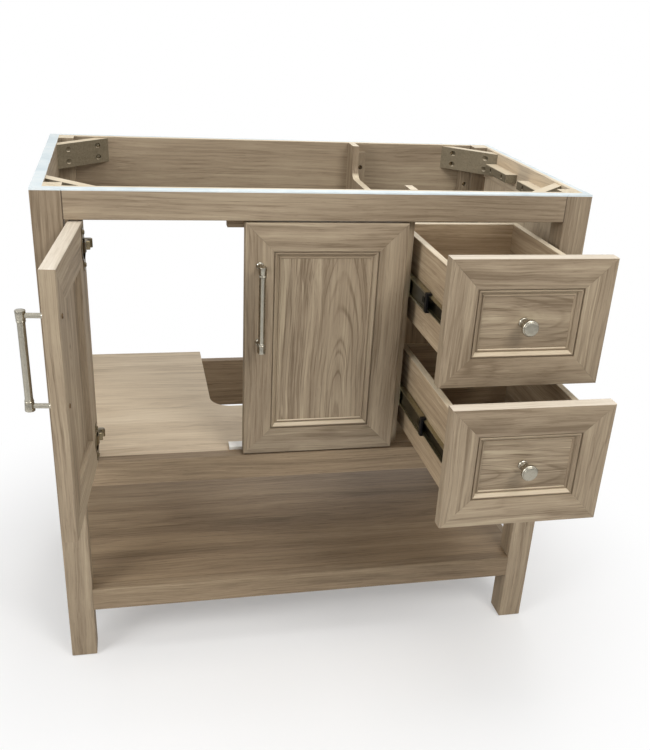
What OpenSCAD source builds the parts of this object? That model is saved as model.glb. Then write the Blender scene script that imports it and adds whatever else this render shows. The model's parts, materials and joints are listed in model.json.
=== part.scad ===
// Free-standing bathroom vanity base with two inset doors, two drawers and an open lower shelf.
// The left door stands open and both drawers are pulled out. Sizes are in millimetres.
// Pieces are drawn from the front left corner at floor level, and the origin is then moved to the
// middle of the footprint on the floor. X runs to the right, Y to the back and Z up.

/* [Overall size] */
// Width over the legs
unit_w = 914; // [860:1:980]
// Depth from the front faces of the legs to the back faces
unit_d = 508; // [480:1:560]
// Height from the floor to the seat of the countertop
unit_h = 883; // [860:1:920]

/* [Legs and rails] */
// Side of the square legs
leg_side = 46; // [42:0.5:50]
// Bevel round the foot of each leg
foot_bevel = 2; // [1:0.5:4]
// Small bevel along the edges of solid wood pieces
arris = 0.8; // [0.4:0.1:1.5]
// Thickness of the front rails
front_rail_t = 22; // [20:0.5:24]
// Height of the top rail and of the middle rail
front_rail_h = 47; // [40:1:52]
// Thickness of the rails at the back
back_rail_t = 18; // [16:0.5:20]
// Height of the top rail at the back
back_top_rail_h = 130; // [110:1:160]
// Height of the rail under the back edge of the cabinet floor
back_middle_rail_h = 110; // [80:1:120]
// Thickness of the rails at the sides
side_rail_t = 18; // [16:0.5:20]
// Height of the top and bottom rails of each side
side_rail_h = 60; // [50:1:70]
// Thickness of the panel in each side
side_panel_t = 9; // [6:0.5:10]
// How far the side panel lies behind the outer face
side_panel_setback = 5; // [3:0.5:7]
// Depth of the grooves that hold a panel
groove_depth = 8; // [6:0.5:10]
// Clearance of a panel in its groove
groove_fit = 0.2; // [0.1:0.1:0.5]

/* [Floor, shelf and partition] */
// Height of the top of the cabinet floor
cabinet_floor_z = 417; // [400:1:440]
// Thickness of the cabinet floor
cabinet_floor_t = 16; // [14:0.5:18]
// Left edge of the plumbing cut-out in the cabinet floor
cutout_x = 286; // [270:1:320]
// Front edge of the plumbing cut-out
cutout_y = 212; // [190:1:260]
// Corner radius of the plumbing cut-out
cutout_r = 40; // [25:1:50]
// Strip of floor left between the cut-out and the partition
cutout_margin = 20; // [15:1:40]
// Height of the top of the lower shelf
shelf_z = 150; // [135:1:170]
// Height of the rails round the lower shelf
shelf_rail_h = 45; // [40:1:55]
// Thickness of the lower shelf
shelf_t = 16; // [14:0.5:18]
// Thickness of the rails at the ends of the lower shelf
shelf_side_rail_t = 13; // [12:0.5:16]
// How far these rails lie behind the outer faces of the legs
shelf_side_setback = 12; // [8:1:16]
// Thickness of the upright partition beside the drawers
partition_t = 13; // [12:0.5:16]
// Gap between the closed fronts and the front edge of the partition
partition_setback = 2; // [1:0.5:4]
// Depth of the notch in the top of the partition for the sink bowl
notch_depth = 63; // [50:1:80]
// Front end of that notch
notch_front = 60; // [50:1:80]
// Back end of that notch
notch_back = 445; // [430:1:455]
// Corner radius of that notch
notch_r = 26; // [15:1:35]
// Thickness of the panel that closes the back of the drawer space
drawer_back_t = 6; // [4:0.5:8]

/* [Corner blocks and stops] */
// Length of wall that each corner brace covers
brace_reach = 92; // [84:1:98]
// Thickness of the corner braces
brace_t = 18; // [15:0.5:20]
// Height of the corner braces
brace_h = 44; // [36:1:50]
// Distance of the braces below the countertop seat
brace_drop = 3; // [2:0.5:8]
// Distance of the brace screws from the inner end of their brace
brace_screw_in = 6; // [5:0.5:8]
// Height of the two screws above and below the middle of a brace
brace_screw_rise = 11; // [8:0.5:13]
// Length of the blocks on the right side
side_block_len = 112; // [100:1:116]
// Height of the blocks on the right side
side_block_h = 16; // [14:0.5:20]
// Width of the blocks on the right side
side_block_w = 24; // [20:0.5:28]
// Distance of these blocks below the countertop seat
side_block_drop = 22; // [15:0.5:30]
// Gap between each block and the corner brace next to it
side_block_gap = 1; // [1:0.5:8]
// Width of the upright battens at the back of the drawer space
batten_w = 22; // [16:0.5:26]
// Thickness of these battens
batten_t = 18; // [15:0.5:20]
// Distance of the top of the batten on the partition below the countertop seat
batten_drop = 17; // [10:0.5:30]
// Distance of the upper screw of a batten from its top
batten_screw_drop = 30; // [20:1:40]
// Distance between the two screws of a batten
batten_screw_step = 40; // [20:1:40]
// Width of the wooden stop behind the top rail
stop_w = 50; // [40:1:60]
// How far the wooden stop reaches below the top rail
stop_reach = 16; // [10:0.5:18]
// Height of the wooden stop behind the top rail
stop_h = 30; // [25:0.5:40]
// Width of the white bumper on the cabinet floor
bumper_w = 42; // [36:1:50]
// Depth of the white bumper
bumper_d = 22; // [18:1:28]
// Height of the white bumper
bumper_h = 6.5; // [5:0.5:8]
// Gap between the closed doors and their stops
stop_gap = 0.5; // [0.4:0.1:1]

/* [Doors and drawer fronts] */
// Thickness of the doors and drawer fronts
front_t = 22; // [20:0.5:24]
// Gap round each door and drawer front
front_gap = 3; // [2.8:0.1:4]
// Width of the drawer fronts
drawer_front_w = 267; // [255:1:280]
// Width of the flat frame round each front
frame_flat_w = 47; // [44:0.5:52]
// Glue line at each mitred corner of a front
mitre_gap = 0.15; // [0.1:0.05:0.4]
// Width of the moulding inside the flat frame
moulding_w = 13.5; // [13:0.5:15]
// Depth of the groove between the flat frame and the moulding
quirk_d = 4.4; // [3:0.2:5.4]
// Width of that groove
quirk_w = 1.5; // [1:0.1:2]
// Radius of the nosing along the outer edge of the moulding
nosing_r = 1.5; // [1:0.1:2]
// Depth of the top of the nosing below the front face
nosing_d = 1.4; // [0.5:0.1:2]
// Radius of the small bead next to the panel
bead_r = 1.6; // [1.2:0.1:1.8]
// Glue line between the moulding and the flat frame
moulding_fit = 0.15; // [0.1:0.05:0.3]
// Depth of the panel face below the front face
panel_recess = 8.5; // [8.5:0.1:10]
// Thickness of the panels in the doors and drawer fronts
panel_t = 5; // [4:0.5:6]
// Clearance round a panel inside its frame
panel_fit = 0.5; // [0.2:0.1:1]
// Opening angle of the left door
left_door_open = 95.5; // [0:0.5:110]

/* [Hinges] */
// Radius of the hinge cups
cup_r = 17.5; // [17:0.1:17.5]
// Depth of the hinge cups
cup_depth = 11.5; // [11:0.1:12.5]
// Wall of the hinge cups
cup_wall = 1; // [0.8:0.1:1.4]
// Clearance of a cup in its bore
cup_fit = 0.15; // [0.1:0.05:0.3]
// Wood left between a hinge cup and the edge of the door
cup_edge = 3.5; // [3.5:0.5:5]
// Distance of the hinges from the top and bottom of the door
hinge_inset = 40; // [38:1:60]
// Height of the hinge flange
flange_h = 66; // [60:1:70]
// Width of the hinge flange
flange_w = 15; // [12:0.5:16]
// Thickness of the hinge flange
flange_t = 1.5; // [1:0.1:2]
// Distance of the turning axis from the edge of the door
pivot_in = 10.7; // [10.7:0.1:12]
// Distance of the turning axis behind the face of the door
pivot_depth = 8; // [7.5:0.1:8]
// Running clearance of the hinge links
hinge_clear = 0.35; // [0.3:0.05:0.5]
// Thickness of the curved link
link_t = 6; // [5:0.5:6.5]
// Height of the hinge links and arms
link_h = 16; // [12:0.5:18]
// Length of the hinge arm behind the door
arm_len = 50; // [40:1:60]
// Width of the hinge arm
arm_w = 14.5; // [12:0.5:16]
// Distance of the hinge arm from the edge of the door
arm_in = 22.7; // [20:0.1:24]
// Gap between the hinge arm and the space swept by the door
arm_gap = 0.5; // [0.4:0.1:1]
// Height of the plate that holds the arm on its wall
plate_h = 48; // [44:1:56]
// Width of that plate
plate_w = 18; // [16:0.5:19]
// Thickness of that plate
plate_t = 2.5; // [2:0.1:2.6]
// Angle between the start of the curved link and the face of the closed door
link_start = 15; // [12:1:18]
// How far the hinge screws reach into the wood
hinge_screw_bite = 8; // [6:0.5:9]

/* [Drawers] */
// Distance that the top drawer is pulled out
top_drawer_out = 210; // [0:1:340]
// Distance that the bottom drawer is pulled out
bottom_drawer_out = 285; // [0:1:340]
// How far the drawer boxes reach behind their slides
drawer_box_extra = 3; // [1:0.5:10]
// Distance of the box above the lower edge of its front
drawer_box_rise = 22; // [16:1:30]
// Distance of the box below the upper edge of its front
drawer_box_drop = 37; // [30:1:60]
// Thickness of the sides, front and back of the drawer boxes
drawer_wall_t = 12; // [10:0.5:14]
// Thickness of the drawer bottoms
drawer_bottom_t = 6; // [5:0.5:8]
// Height of the drawer bottom above the lower edge of the box
drawer_bottom_rise = 10; // [8:0.5:14]
// Depth of the grooves that hold the drawer bottom
drawer_groove = 6; // [4:0.5:7]

/* [Slides] */
// Width that a slide fills between the box and the cabinet
slide_w = 12.7; // [12.5:0.1:13]
// Height of the slides
slide_h = 36; // [32:0.5:40]
// Length of the slides
slide_len = 345; // [320:1:350]
// Height of the slides above the lower edge of the drawer front
slide_rise = 90; // [78:1:104]
// Thickness of the steel of the slides
slide_steel = 1.2; // [1:0.1:1.5]
// Width of the lips of the cabinet member
cabinet_lip = 8; // [6:0.5:9]
// Thickness of the lips of the middle member
middle_lip_t = 3; // [2:0.5:3.5]
// Width of the lips of the middle member
middle_lip = 8.4; // [7:0.1:8.6]
// Distance of the middle member from the wall
middle_inset = 1.8; // [1.6:0.1:2]
// Thickness of the lips of the drawer member
drawer_lip_t = 2; // [1.5:0.5:3]
// Width of the lips of the drawer member
drawer_lip = 6.7; // [6:0.1:7]
// Gap between the sliding members
slide_fit = 0.3; // [0.3:0.05:0.5]
// How far the middle members start behind the front ends of the others
middle_setback = 12; // [6:0.5:16]
// Length of the windows in the middle members
window_len = 8; // [6:0.5:10]
// Height of these windows
window_h = 10; // [8:0.5:14]
// Strip of steel between the two windows at the front
window_strip = 2.5; // [2:0.5:4]
// Length of the plastic guide at the front of each middle member
guide_len = 9; // [6:0.5:12]
// Height of the horizontal spacers behind the right slides
spacer_h = 46; // [40:1:60]

/* [Handles and screws] */
// Distance between the posts of a door pull
pull_centres = 132; // [96:1:160]
// Radius of the bar of a door pull
pull_bar_r = 5.6; // [4.5:0.1:6.5]
// Radius of the end caps of a door pull
pull_cap_r = 7.2; // [6:0.1:8]
// Length of the end caps
pull_cap_len = 20; // [16:0.5:24]
// Radius of the posts
pull_post_r = 3.7; // [3:0.1:4.5]
// Distance of the bar's axis from the door
pull_standoff = 32; // [28:0.5:36]
// Distance of the pull from the free edge of the door
pull_inset = 24; // [20:0.5:26]
// Height of the middle of the pull below the upper edge of the door
pull_drop = 136; // [100:1:150]
// Radius of the head of a drawer knob
knob_r = 13.5; // [11:0.5:16]
// Length of a drawer knob
knob_len = 32; // [28:0.5:36]
// Radius of the foot of a drawer knob
knob_foot_r = 8.2; // [7:0.1:9]
// Radius of the neck of a drawer knob
knob_neck_r = 5.2; // [4.5:0.1:6]
// Thickness of the head of a drawer knob
knob_head_t = 11; // [9:0.5:13]
// Distance of the knobs to the left of the middle of their fronts
knob_side = 4; // [0:0.5:6]
// Radius of the screw heads
screw_head_r = 3.8; // [3.5:0.1:4.2]
// Height of the screw heads
screw_head_h = 2.2; // [1.8:0.1:2.6]
// Radius of the screw shanks
screw_r = 2; // [1.8:0.1:2.2]
// Radius of the recesses for screw heads
recess_r = 4.6; // [4.4:0.1:5]
// Clearance of a screw shank in its hole
screw_fit = 0.3; // [0.2:0.05:0.4]
// How far a screw reaches into the piece behind
screw_bite = 10; // [6:0.5:12]

/* [Hidden] */

$fn = 48;

// Colours
wood = [0.60, 0.52, 0.43];
light_wood = [0.68, 0.60, 0.50];
raw_wood = [0.87, 0.80, 0.68];
brace_wood = [0.47, 0.43, 0.36];
nickel = [0.72, 0.70, 0.66];
zinc = [0.45, 0.46, 0.47];
black_plastic = [0.07, 0.07, 0.08];
white_plastic = [0.93, 0.93, 0.91];

// Clear space between the legs and the levels of the rails
clear_w = unit_w - 2 * leg_side;
side_len = unit_d - 2 * leg_side;
top_rail_z = unit_h - front_rail_h;
middle_rail_z = cabinet_floor_z - front_rail_h;
shelf_rail_z = shelf_z - shelf_rail_h;
floor_under_z = cabinet_floor_z - cabinet_floor_t;
back_y = unit_d - back_rail_t;
right_wall_x = unit_w - side_rail_t;

// Doors, drawer column and drawer boxes
door_w = (clear_w - 4 * front_gap - drawer_front_w) / 2;
door_h = top_rail_z - cabinet_floor_z - 2 * front_gap;
door_z = cabinet_floor_z + front_gap;
left_door_x = leg_side + front_gap;
partition_x = left_door_x + 2 * door_w + 2 * front_gap;
doors_middle_x = left_door_x + door_w + front_gap / 2;
drawer_front_h = (door_h - front_gap) / 2;
top_drawer_z = door_z + drawer_front_h + front_gap;
partition_right_x = partition_x + partition_t;
drawer_wall_x = unit_w - leg_side;
drawer_box_x = partition_right_x + slide_w;
drawer_box_w = drawer_wall_x - slide_w - drawer_box_x;
slide_y = front_t + partition_setback;
middle_web_x = slide_w / 3;
drawer_box_d = slide_y + slide_len + drawer_box_extra - front_t;
drawer_box_h = drawer_front_h - drawer_box_rise - drawer_box_drop;
frame_full_w = frame_flat_w + moulding_w;
rabbet_d = panel_recess + panel_t;

// Radius swept by the back corner of a turning door, and the curved link that clears it
swing_r = norm([pivot_in, front_t - pivot_depth]);
link_r = swing_r + hinge_clear;
cup_x = cup_edge + cup_r;
side_block_z = unit_h - side_block_drop - side_block_h;

// Inner end of each corner brace, place of its screws along the wall and depth of their seats
brace_inner = brace_reach - brace_t * sqrt(2);
brace_screw_at = brace_inner + brace_screw_in;
brace_seat = (brace_reach - brace_screw_at) / 2;

// Moves the corner frame to the middle of the footprint
module from_corner() {
    translate([-unit_w / 2, -unit_d / 2, 0]) children();
}

// A board whose four long edges are bevelled. along is the axis of its length: 0, 1 or 2.
module board(size, along = 0, bevel = arris) {
    length = size[along];
    a = along == 0 ? size[1] : along == 1 ? size[2] : size[0];
    b = along == 0 ? size[2] : along == 1 ? size[0] : size[1];
    turn = along == 0 ? [90, 0, 90] : along == 1 ? [-90, -90, 0] : [0, 0, 0];
    rotate(turn) linear_extrude(length) polygon([
        [bevel, 0], [a - bevel, 0], [a, bevel], [a, b - bevel],
        [a - bevel, b], [bevel, b], [0, b - bevel], [0, bevel]]);
}

// Screw with a pan head, drawn from the seat of its head: the shank runs along -Z.
module wood_screw(length) {
    cylinder(r = screw_head_r, h = screw_head_h / 2);
    translate([0, 0, screw_head_h / 2])
        cylinder(r1 = screw_head_r, r2 = screw_head_r - screw_head_h / 2, h = screw_head_h / 2);
    translate([0, 0, -length]) cylinder(r = screw_r, h = length);
}

// Hole for such a screw, with a recess that is open towards +Z.
module screw_hole(length) {
    cylinder(r = recess_r, h = 60);
    translate([0, 0, -length - 1]) cylinder(r = screw_r + screw_fit, h = length + 2);
}

// Legs

// A leg with its outer corner at the origin and its grooves for the side panel.
module leg() {
    panel_z = cabinet_floor_z + side_rail_h - front_rail_h - groove_depth;
    difference() {
        board([leg_side, leg_side, unit_h], 2);
        for (turn = [0, 90, 180, 270])
            translate([leg_side / 2, leg_side / 2, 0]) rotate([0, 0, turn])
                translate([-leg_side, leg_side / 2, 0]) rotate([45, 0, 0])
                    translate([0, -foot_bevel, -foot_bevel])
                        cube([2 * leg_side, 2 * foot_bevel, 2 * foot_bevel]);
        translate([side_panel_setback - groove_fit, leg_side - groove_depth, panel_z])
            cube([side_panel_t + 2 * groove_fit, groove_depth + 1,
                  unit_h - side_rail_h + groove_depth - panel_z]);
    }
}

module front_left_leg() {
    color(wood) from_corner() leg();
}

module front_right_leg() {
    color(wood) from_corner() translate([unit_w, 0, 0]) mirror([1, 0, 0]) leg();
}

module rear_left_leg() {
    color(wood) from_corner() translate([0, unit_d, 0]) mirror([0, 1, 0]) leg();
}

module rear_right_leg() {
    color(wood) from_corner() translate([unit_w, unit_d, 0])
        mirror([1, 0, 0]) mirror([0, 1, 0]) leg();
}

// Sides

// Top and bottom rail of the left side, grooved for the panel.
module side_rails() {
    for (top = [false, true]) {
        z = top ? unit_h - side_rail_h : middle_rail_z;
        groove_z = top ? z - 1 : z + side_rail_h - groove_depth;
        difference() {
            translate([0, leg_side, z]) board([side_rail_t, side_len, side_rail_h], 1);
            translate([side_panel_setback - groove_fit, leg_side - 1, groove_z])
                cube([side_panel_t + 2 * groove_fit, side_len + 2, groove_depth + 1]);
        }
    }
}

module side_panel() {
    z = middle_rail_z + side_rail_h - groove_depth + 2 * groove_fit;
    top = unit_h - side_rail_h + groove_depth - 2 * groove_fit;
    inset = groove_depth - 2 * groove_fit;
    translate([side_panel_setback, leg_side - inset, z])
        cube([side_panel_t, side_len + 2 * inset, top - z]);
}

module left_side_rails() {
    color(wood) from_corner() side_rails();
}

module right_side_rails() {
    color(wood) from_corner() translate([unit_w, 0, 0]) mirror([1, 0, 0]) side_rails();
}

module side_panels() {
    color(light_wood) from_corner()
        for (right = [false, true])
            translate([right ? unit_w : 0, 0, 0]) mirror(right ? [1, 0, 0] : [0, 0, 0])
                side_panel();
}

// Rails between the legs

module front_top_rail() {
    color(wood) from_corner() translate([leg_side, 0, top_rail_z])
        board([clear_w, front_rail_t, front_rail_h]);
}

module front_middle_rail() {
    color(wood) from_corner() translate([leg_side, 0, middle_rail_z])
        board([clear_w, front_rail_t, front_rail_h]);
}

module back_top_rail() {
    color(wood) from_corner() translate([leg_side, back_y, unit_h - back_top_rail_h])
        board([clear_w, back_rail_t, back_top_rail_h]);
}

module back_middle_rail() {
    color(wood) from_corner()
        translate([leg_side, back_y, floor_under_z - back_middle_rail_h])
            board([clear_w, back_rail_t, back_middle_rail_h]);
}

module shelf_front_rail() {
    color(wood) from_corner() translate([leg_side, 0, shelf_rail_z])
        board([clear_w, front_rail_t, shelf_rail_h]);
}

module shelf_back_rail() {
    color(wood) from_corner() translate([leg_side, back_y, shelf_rail_z])
        board([clear_w, back_rail_t, shelf_rail_h]);
}

module shelf_side_rails() {
    color(wood) from_corner()
        for (x = [shelf_side_setback, unit_w - shelf_side_setback - shelf_side_rail_t])
            translate([x, leg_side, shelf_rail_z])
                board([shelf_side_rail_t, side_len, shelf_rail_h], 1);
}

// Floor, shelf and partition

// Plan of a panel between the walls, with a notch for each leg.
module notched_plan(left, right, front, back) {
    difference() {
        translate([left, front]) square([right - left, back - front]);
        for (x = [0, unit_w - leg_side], y = [0, unit_d - leg_side])
            translate([x, y]) square([leg_side, leg_side]);
    }
}

// Plan of the plumbing cut-out, with two round corners at the front.
module cutout_plan() {
    right = partition_x - cutout_margin;
    for (x = [cutout_x + cutout_r, right - cutout_r])
        translate([x, cutout_y + cutout_r]) circle(r = cutout_r);
    translate([cutout_x + cutout_r, cutout_y])
        square([right - cutout_x - 2 * cutout_r, cutout_r + 1]);
    translate([cutout_x, cutout_y + cutout_r])
        square([right - cutout_x, unit_d - cutout_y - cutout_r + 1]);
}

module cabinet_floor() {
    color(light_wood) from_corner() translate([0, 0, floor_under_z])
        linear_extrude(cabinet_floor_t) difference() {
            notched_plan(side_rail_t, right_wall_x, front_rail_t, unit_d);
            cutout_plan();
        }
}

module lower_shelf() {
    x = shelf_side_setback + shelf_side_rail_t;
    color(wood) from_corner() translate([0, 0, shelf_z - shelf_t])
        linear_extrude(shelf_t) notched_plan(x, unit_w - x, front_rail_t, back_y);
}

// Side view of the partition, with the notch for the sink bowl cut into its top edge.
module partition_outline() {
    front = front_t + partition_setback;
    notch_z = unit_h - notch_depth;
    difference() {
        translate([front, cabinet_floor_z]) square([back_y - front, unit_h - cabinet_floor_z]);
        translate([notch_front, notch_z + notch_r])
            square([notch_back - notch_front, notch_depth]);
        translate([notch_front + notch_r, notch_z])
            square([notch_back - notch_front - 2 * notch_r, notch_depth]);
        for (y = [notch_front + notch_r, notch_back - notch_r])
            translate([y, notch_z + notch_r]) circle(r = notch_r);
    }
}

module partition() {
    color(light_wood) from_corner() translate([partition_x, 0, 0])
        rotate([90, 0, 90]) linear_extrude(partition_t) partition_outline();
}

// Panel behind the drawers. It stands on the cabinet floor, under the top rail at the back.
module drawer_back_panel() {
    top = unit_h - back_top_rail_h;
    color(light_wood) from_corner() translate([partition_x, back_y, cabinet_floor_z])
        cube([drawer_wall_x - partition_x, drawer_back_t, top - cabinet_floor_z]);
}

// Braces, blocks, battens and stops

// Plan of a brace across a corner at the origin, whose walls run along +X and +Y.
module brace_plan() {
    polygon([[brace_reach, 0], [brace_inner, 0], [0, brace_inner], [0, brace_reach]]);
}

// Places of the four screws of a brace. Each points at its wall.
module brace_screw_places() {
    for (rise = [-brace_screw_rise, brace_screw_rise], turn = [false, true])
        mirror(turn ? [1, -1, 0] : [0, 0, 0])
            translate([brace_screw_at, brace_seat, brace_h / 2 + rise]) rotate([-90, 0, 0]) children();
}

// Puts its children, drawn for the front left corner, in the front or the rear corners.
module in_corners(rear) {
    for (right = [false, true])
        translate([right ? right_wall_x : side_rail_t, rear ? back_y : front_rail_t,
                   unit_h - brace_drop - brace_h])
            mirror(right ? [1, 0, 0] : [0, 0, 0]) mirror(rear ? [0, 1, 0] : [0, 0, 0]) children();
}

module corner_brace() {
    difference() {
        linear_extrude(brace_h) brace_plan();
        brace_screw_places() screw_hole(brace_seat);
    }
}

module front_corner_braces() {
    color(brace_wood) from_corner() in_corners(false) corner_brace();
}

module rear_corner_braces() {
    color(brace_wood) from_corner() in_corners(true) corner_brace();
}

// Places of the two blocks on the right side, at their front lower inner corner.
module side_block_places() {
    from_brace = brace_reach + side_block_gap;
    for (y = [front_rail_t + from_brace, back_y - from_brace - side_block_len])
        translate([right_wall_x - side_block_w, y, side_block_z]) children();
}

// Places of the two screws of a block, at the seats of their heads.
module side_block_screw_places() {
    for (part = [0.2, 0.75])
        translate([side_block_w / 2, side_block_len * part, side_block_h / 2])
            rotate([0, -90, 0]) children();
}

module right_side_blocks() {
    color(raw_wood) from_corner() side_block_places() difference() {
        board([side_block_w, side_block_len, side_block_h], 1);
        side_block_screw_places() screw_hole(side_block_w / 2);
    }
}

// Places of the two battens, at the front left corners of their tops.
// The one on the right ends under the corner brace.
module batten_places() {
    translate([partition_right_x, back_y - batten_t, unit_h - batten_drop]) children();
    translate([drawer_wall_x - batten_w, back_y - batten_t,
               unit_h - brace_drop - brace_h - side_block_gap]) children();
}

// Places of the two screws of a batten, at the seats of their heads.
module batten_screw_places() {
    for (drop = [batten_screw_drop, batten_screw_drop + batten_screw_step])
        translate([batten_w / 2, batten_t / 2, -drop]) rotate([90, 0, 0]) children();
}

// The battens stand on the cabinet floor. What the longer block has below it is cut off.
module rear_battens() {
    color(wood) from_corner() difference() {
        batten_places() difference() {
            translate([0, 0, -unit_h]) board([batten_w, batten_t, unit_h], 2);
            batten_screw_places() screw_hole(batten_t / 2);
        }
        translate([0, 0, cabinet_floor_z - 2 * unit_h]) cube([unit_w, unit_d, 2 * unit_h]);
    }
}

module slide_spacers() {
    color(wood) from_corner()
        for (z = [door_z, top_drawer_z])
            translate([drawer_wall_x, leg_side, z + slide_rise - spacer_h / 2])
                board([leg_side - side_rail_t, side_len, spacer_h], 1);
}

// The lower part of the stop lies a little behind the closed doors.
module door_stop_block() {
    color(raw_wood) from_corner()
        translate([doors_middle_x - stop_w / 2, front_rail_t, top_rail_z]) union() {
            cube([stop_w, brace_t, stop_h]);
            translate([0, stop_gap, -stop_reach]) cube([stop_w, brace_t - stop_gap, stop_reach + 1]);
        }
}

module door_bumper() {
    color(white_plastic) from_corner()
        translate([doors_middle_x - bumper_w / 2, front_t + stop_gap, cabinet_floor_z])
            board([bumper_w, bumper_d, bumper_h]);
}

module wood_screws() {
    color(nickel) from_corner() {
        for (rear = [false, true])
            in_corners(rear) brace_screw_places() wood_screw(brace_seat + screw_bite);
        side_block_places() side_block_screw_places() wood_screw(side_block_w / 2 + screw_bite);
        batten_places() batten_screw_places() wood_screw(batten_t / 2 + screw_bite);
    }
}

// Mitred frames, mouldings and panels of the doors and drawer fronts

// Cuts the ends of a bar of the given length to 45 degrees, short of its neighbours by the
// glue line.
module mitre(length, width) {
    intersection() {
        children();
        translate([0, front_t + 1, 0]) rotate([90, 0, 0]) linear_extrude(front_t + 2)
            polygon([[mitre_gap, 0], [length - mitre_gap, 0],
                     [length - width - mitre_gap, width], [width + mitre_gap, width]]);
    }
}

// Four mitred bars round a w by h front. profile has points [depth, distance from the edge].
module mitred_bars(w, h, profile, width) {
    for (length_and_place = [[w, [0, 0, 0], 0], [h, [w, 0, 0], -90],
                             [w, [w, 0, h], 180], [h, [0, 0, h], 90]])
        translate(length_and_place[1]) rotate([0, length_and_place[2], 0])
            mitre(length_and_place[0], width)
                rotate([90, 0, 90]) linear_extrude(length_and_place[0]) polygon(profile);
}

// Flat bar with a rabbet at the inner edge of its face for the panel and the moulding.
function frame_profile() = [
    [0, arris], [arris, 0], [front_t - arris, 0], [front_t, arris],
    [front_t, frame_full_w - arris], [front_t - arris, frame_full_w], [rabbet_d, frame_full_w],
    [rabbet_d, frame_flat_w], [arris, frame_flat_w], [0, frame_flat_w - arris]];

// Moulding from the rabbet wall inwards: a groove, a nosing, a slope, a narrow groove, and a
// bead beside the panel
function moulding_profile() =
    let (edge = frame_flat_w + moulding_fit, nosing_w = edge + quirk_w + nosing_r,
         nosing_y = nosing_d + nosing_r, bead_rise = 0.5, bead_y = panel_recess - bead_rise,
         bead_w = frame_full_w - bead_rise - bead_r, groove_w = 1.4,
         slope_end = bead_w - bead_r - groove_w)
    concat([[panel_recess, edge], [quirk_d, edge], [quirk_d, edge + quirk_w]],
           [for (turn = [180:-30:60])
               [nosing_y - nosing_r * sin(turn), nosing_w + nosing_r * cos(turn)]],
           [[bead_y - 1, slope_end], [bead_y, slope_end], [bead_y, slope_end + groove_w]],
           [for (turn = [150:-30:0]) [bead_y - bead_r * sin(turn), bead_w + bead_r * cos(turn)]],
           [[panel_recess, frame_full_w]]);

module front_frame(w, h) {
    mitred_bars(w, h, frame_profile(), frame_full_w);
}

module front_moulding(w, h) {
    mitred_bars(w, h, moulding_profile(), frame_full_w);
}

module front_panel(w, h) {
    inset = frame_flat_w + panel_fit;
    translate([inset, panel_recess, inset]) cube([w - 2 * inset, panel_t, h - 2 * inset]);
}

// Doors. Each is drawn closed, with its hinge edge at x = 0, and the right one is mirrored.

module left_door_place() {
    from_corner() translate([left_door_x + pivot_in, pivot_depth, door_z])
        rotate([0, 0, -left_door_open]) translate([-pivot_in, -pivot_depth, 0]) children();
}

module right_door_place() {
    from_corner() translate([partition_x - front_gap, 0, door_z])
        mirror([1, 0, 0]) children();
}

// Heights of the two hinges of a door
module hinge_places() {
    for (z = [hinge_inset, door_h - hinge_inset]) translate([0, 0, z]) children();
}

// Heights of the two posts of a pull
module pull_post_places() {
    for (side = [-1, 1])
        translate([door_w - pull_inset, 0, door_h - pull_drop + side * pull_centres / 2])
            children();
}

module door_frame() {
    difference() {
        front_frame(door_w, door_h);
        hinge_places() translate([cup_x, front_t - cup_depth, 0]) rotate([-90, 0, 0])
            cylinder(r = cup_r + cup_fit, h = cup_depth + 1);
        pull_post_places() rotate([-90, 0, 0]) translate([0, 0, -1])
            cylinder(r = screw_r + screw_fit, h = front_t + 2);
    }
}

// A turned bar with a cap and a double ring at each end, and two posts to the door.
module pull() {
    half = (pull_centres + pull_cap_len) / 2;
    ring = half - pull_cap_len;
    outline = [[pull_cap_r - 1.2, half], [pull_cap_r, half - 1.2], [pull_cap_r, ring + 4],
               [pull_cap_r - 0.8, ring + 3.3], [pull_cap_r, ring + 2.6],
               [pull_cap_r, ring + 1.4], [pull_bar_r + 0.5, ring + 0.6], [pull_bar_r, ring]];
    translate([door_w - pull_inset, -pull_standoff, door_h - pull_drop]) rotate_extrude()
        polygon(concat([[0, -half]], [for (p = outline) [p[0], -p[1]]],
                       [for (k = [len(outline) - 1:-1:0]) outline[k]], [[0, half]]));
    pull_post_places() translate([0, -pull_standoff + pull_bar_r / 2, 0])
        rotate([-90, 0, 0]) cylinder(r = pull_post_r, h = pull_standoff - pull_bar_r / 2);
}

// Screws from the back of the door that end at the foot of each post
module pull_screws() {
    pull_post_places() translate([0, front_t, 0]) rotate([-90, 0, 0])
        wood_screw(front_t);
}

// Cup let into the back of the door, its flange, and the link that turns inside the curved link.
// The link is narrow inside the cup and wider over the flange.
module hinge_cup() {
    flange_y = front_t + flange_t;
    screw_z = flange_h / 2 - 2 * screw_head_r;
    rim_w = 1.1;
    inner = [pivot_in - 4, 18];
    outer = [pivot_in - 7.6, 20];
    translate([cup_x, front_t - cup_depth, 0]) rotate([-90, 0, 0]) difference() {
        union() {
            cylinder(r = cup_r, h = cup_depth);
            translate([0, 0, cup_depth]) cylinder(r = cup_r + rim_w, h = flange_t);
            translate([-flange_w / 2, -flange_h / 2, cup_depth])
                cube([flange_w, flange_h, flange_t]);
        }
        translate([0, 0, cup_wall]) cylinder(r = cup_r - cup_wall, h = cup_depth + flange_t);
    }
    intersection() {
        translate([pivot_in, pivot_depth, -link_h / 2]) cylinder(r = swing_r, h = link_h);
        union() {
            translate([inner[0], front_t - cup_depth + cup_wall, -link_h / 2])
                cube([inner[1], cup_depth + flange_t - cup_wall, link_h]);
            translate([outer[0], flange_y, -link_h / 2]) cube([outer[1], swing_r, link_h]);
        }
    }
    for (side = [-1, 1])
        translate([cup_x, flange_y, side * screw_z]) rotate([-90, 0, 0])
            wood_screw(flange_t + hinge_screw_bite);
}

module left_door_frame() {
    color(wood) left_door_place() door_frame();
}

module left_door_moulding() {
    color(wood) left_door_place() front_moulding(door_w, door_h);
}

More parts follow.
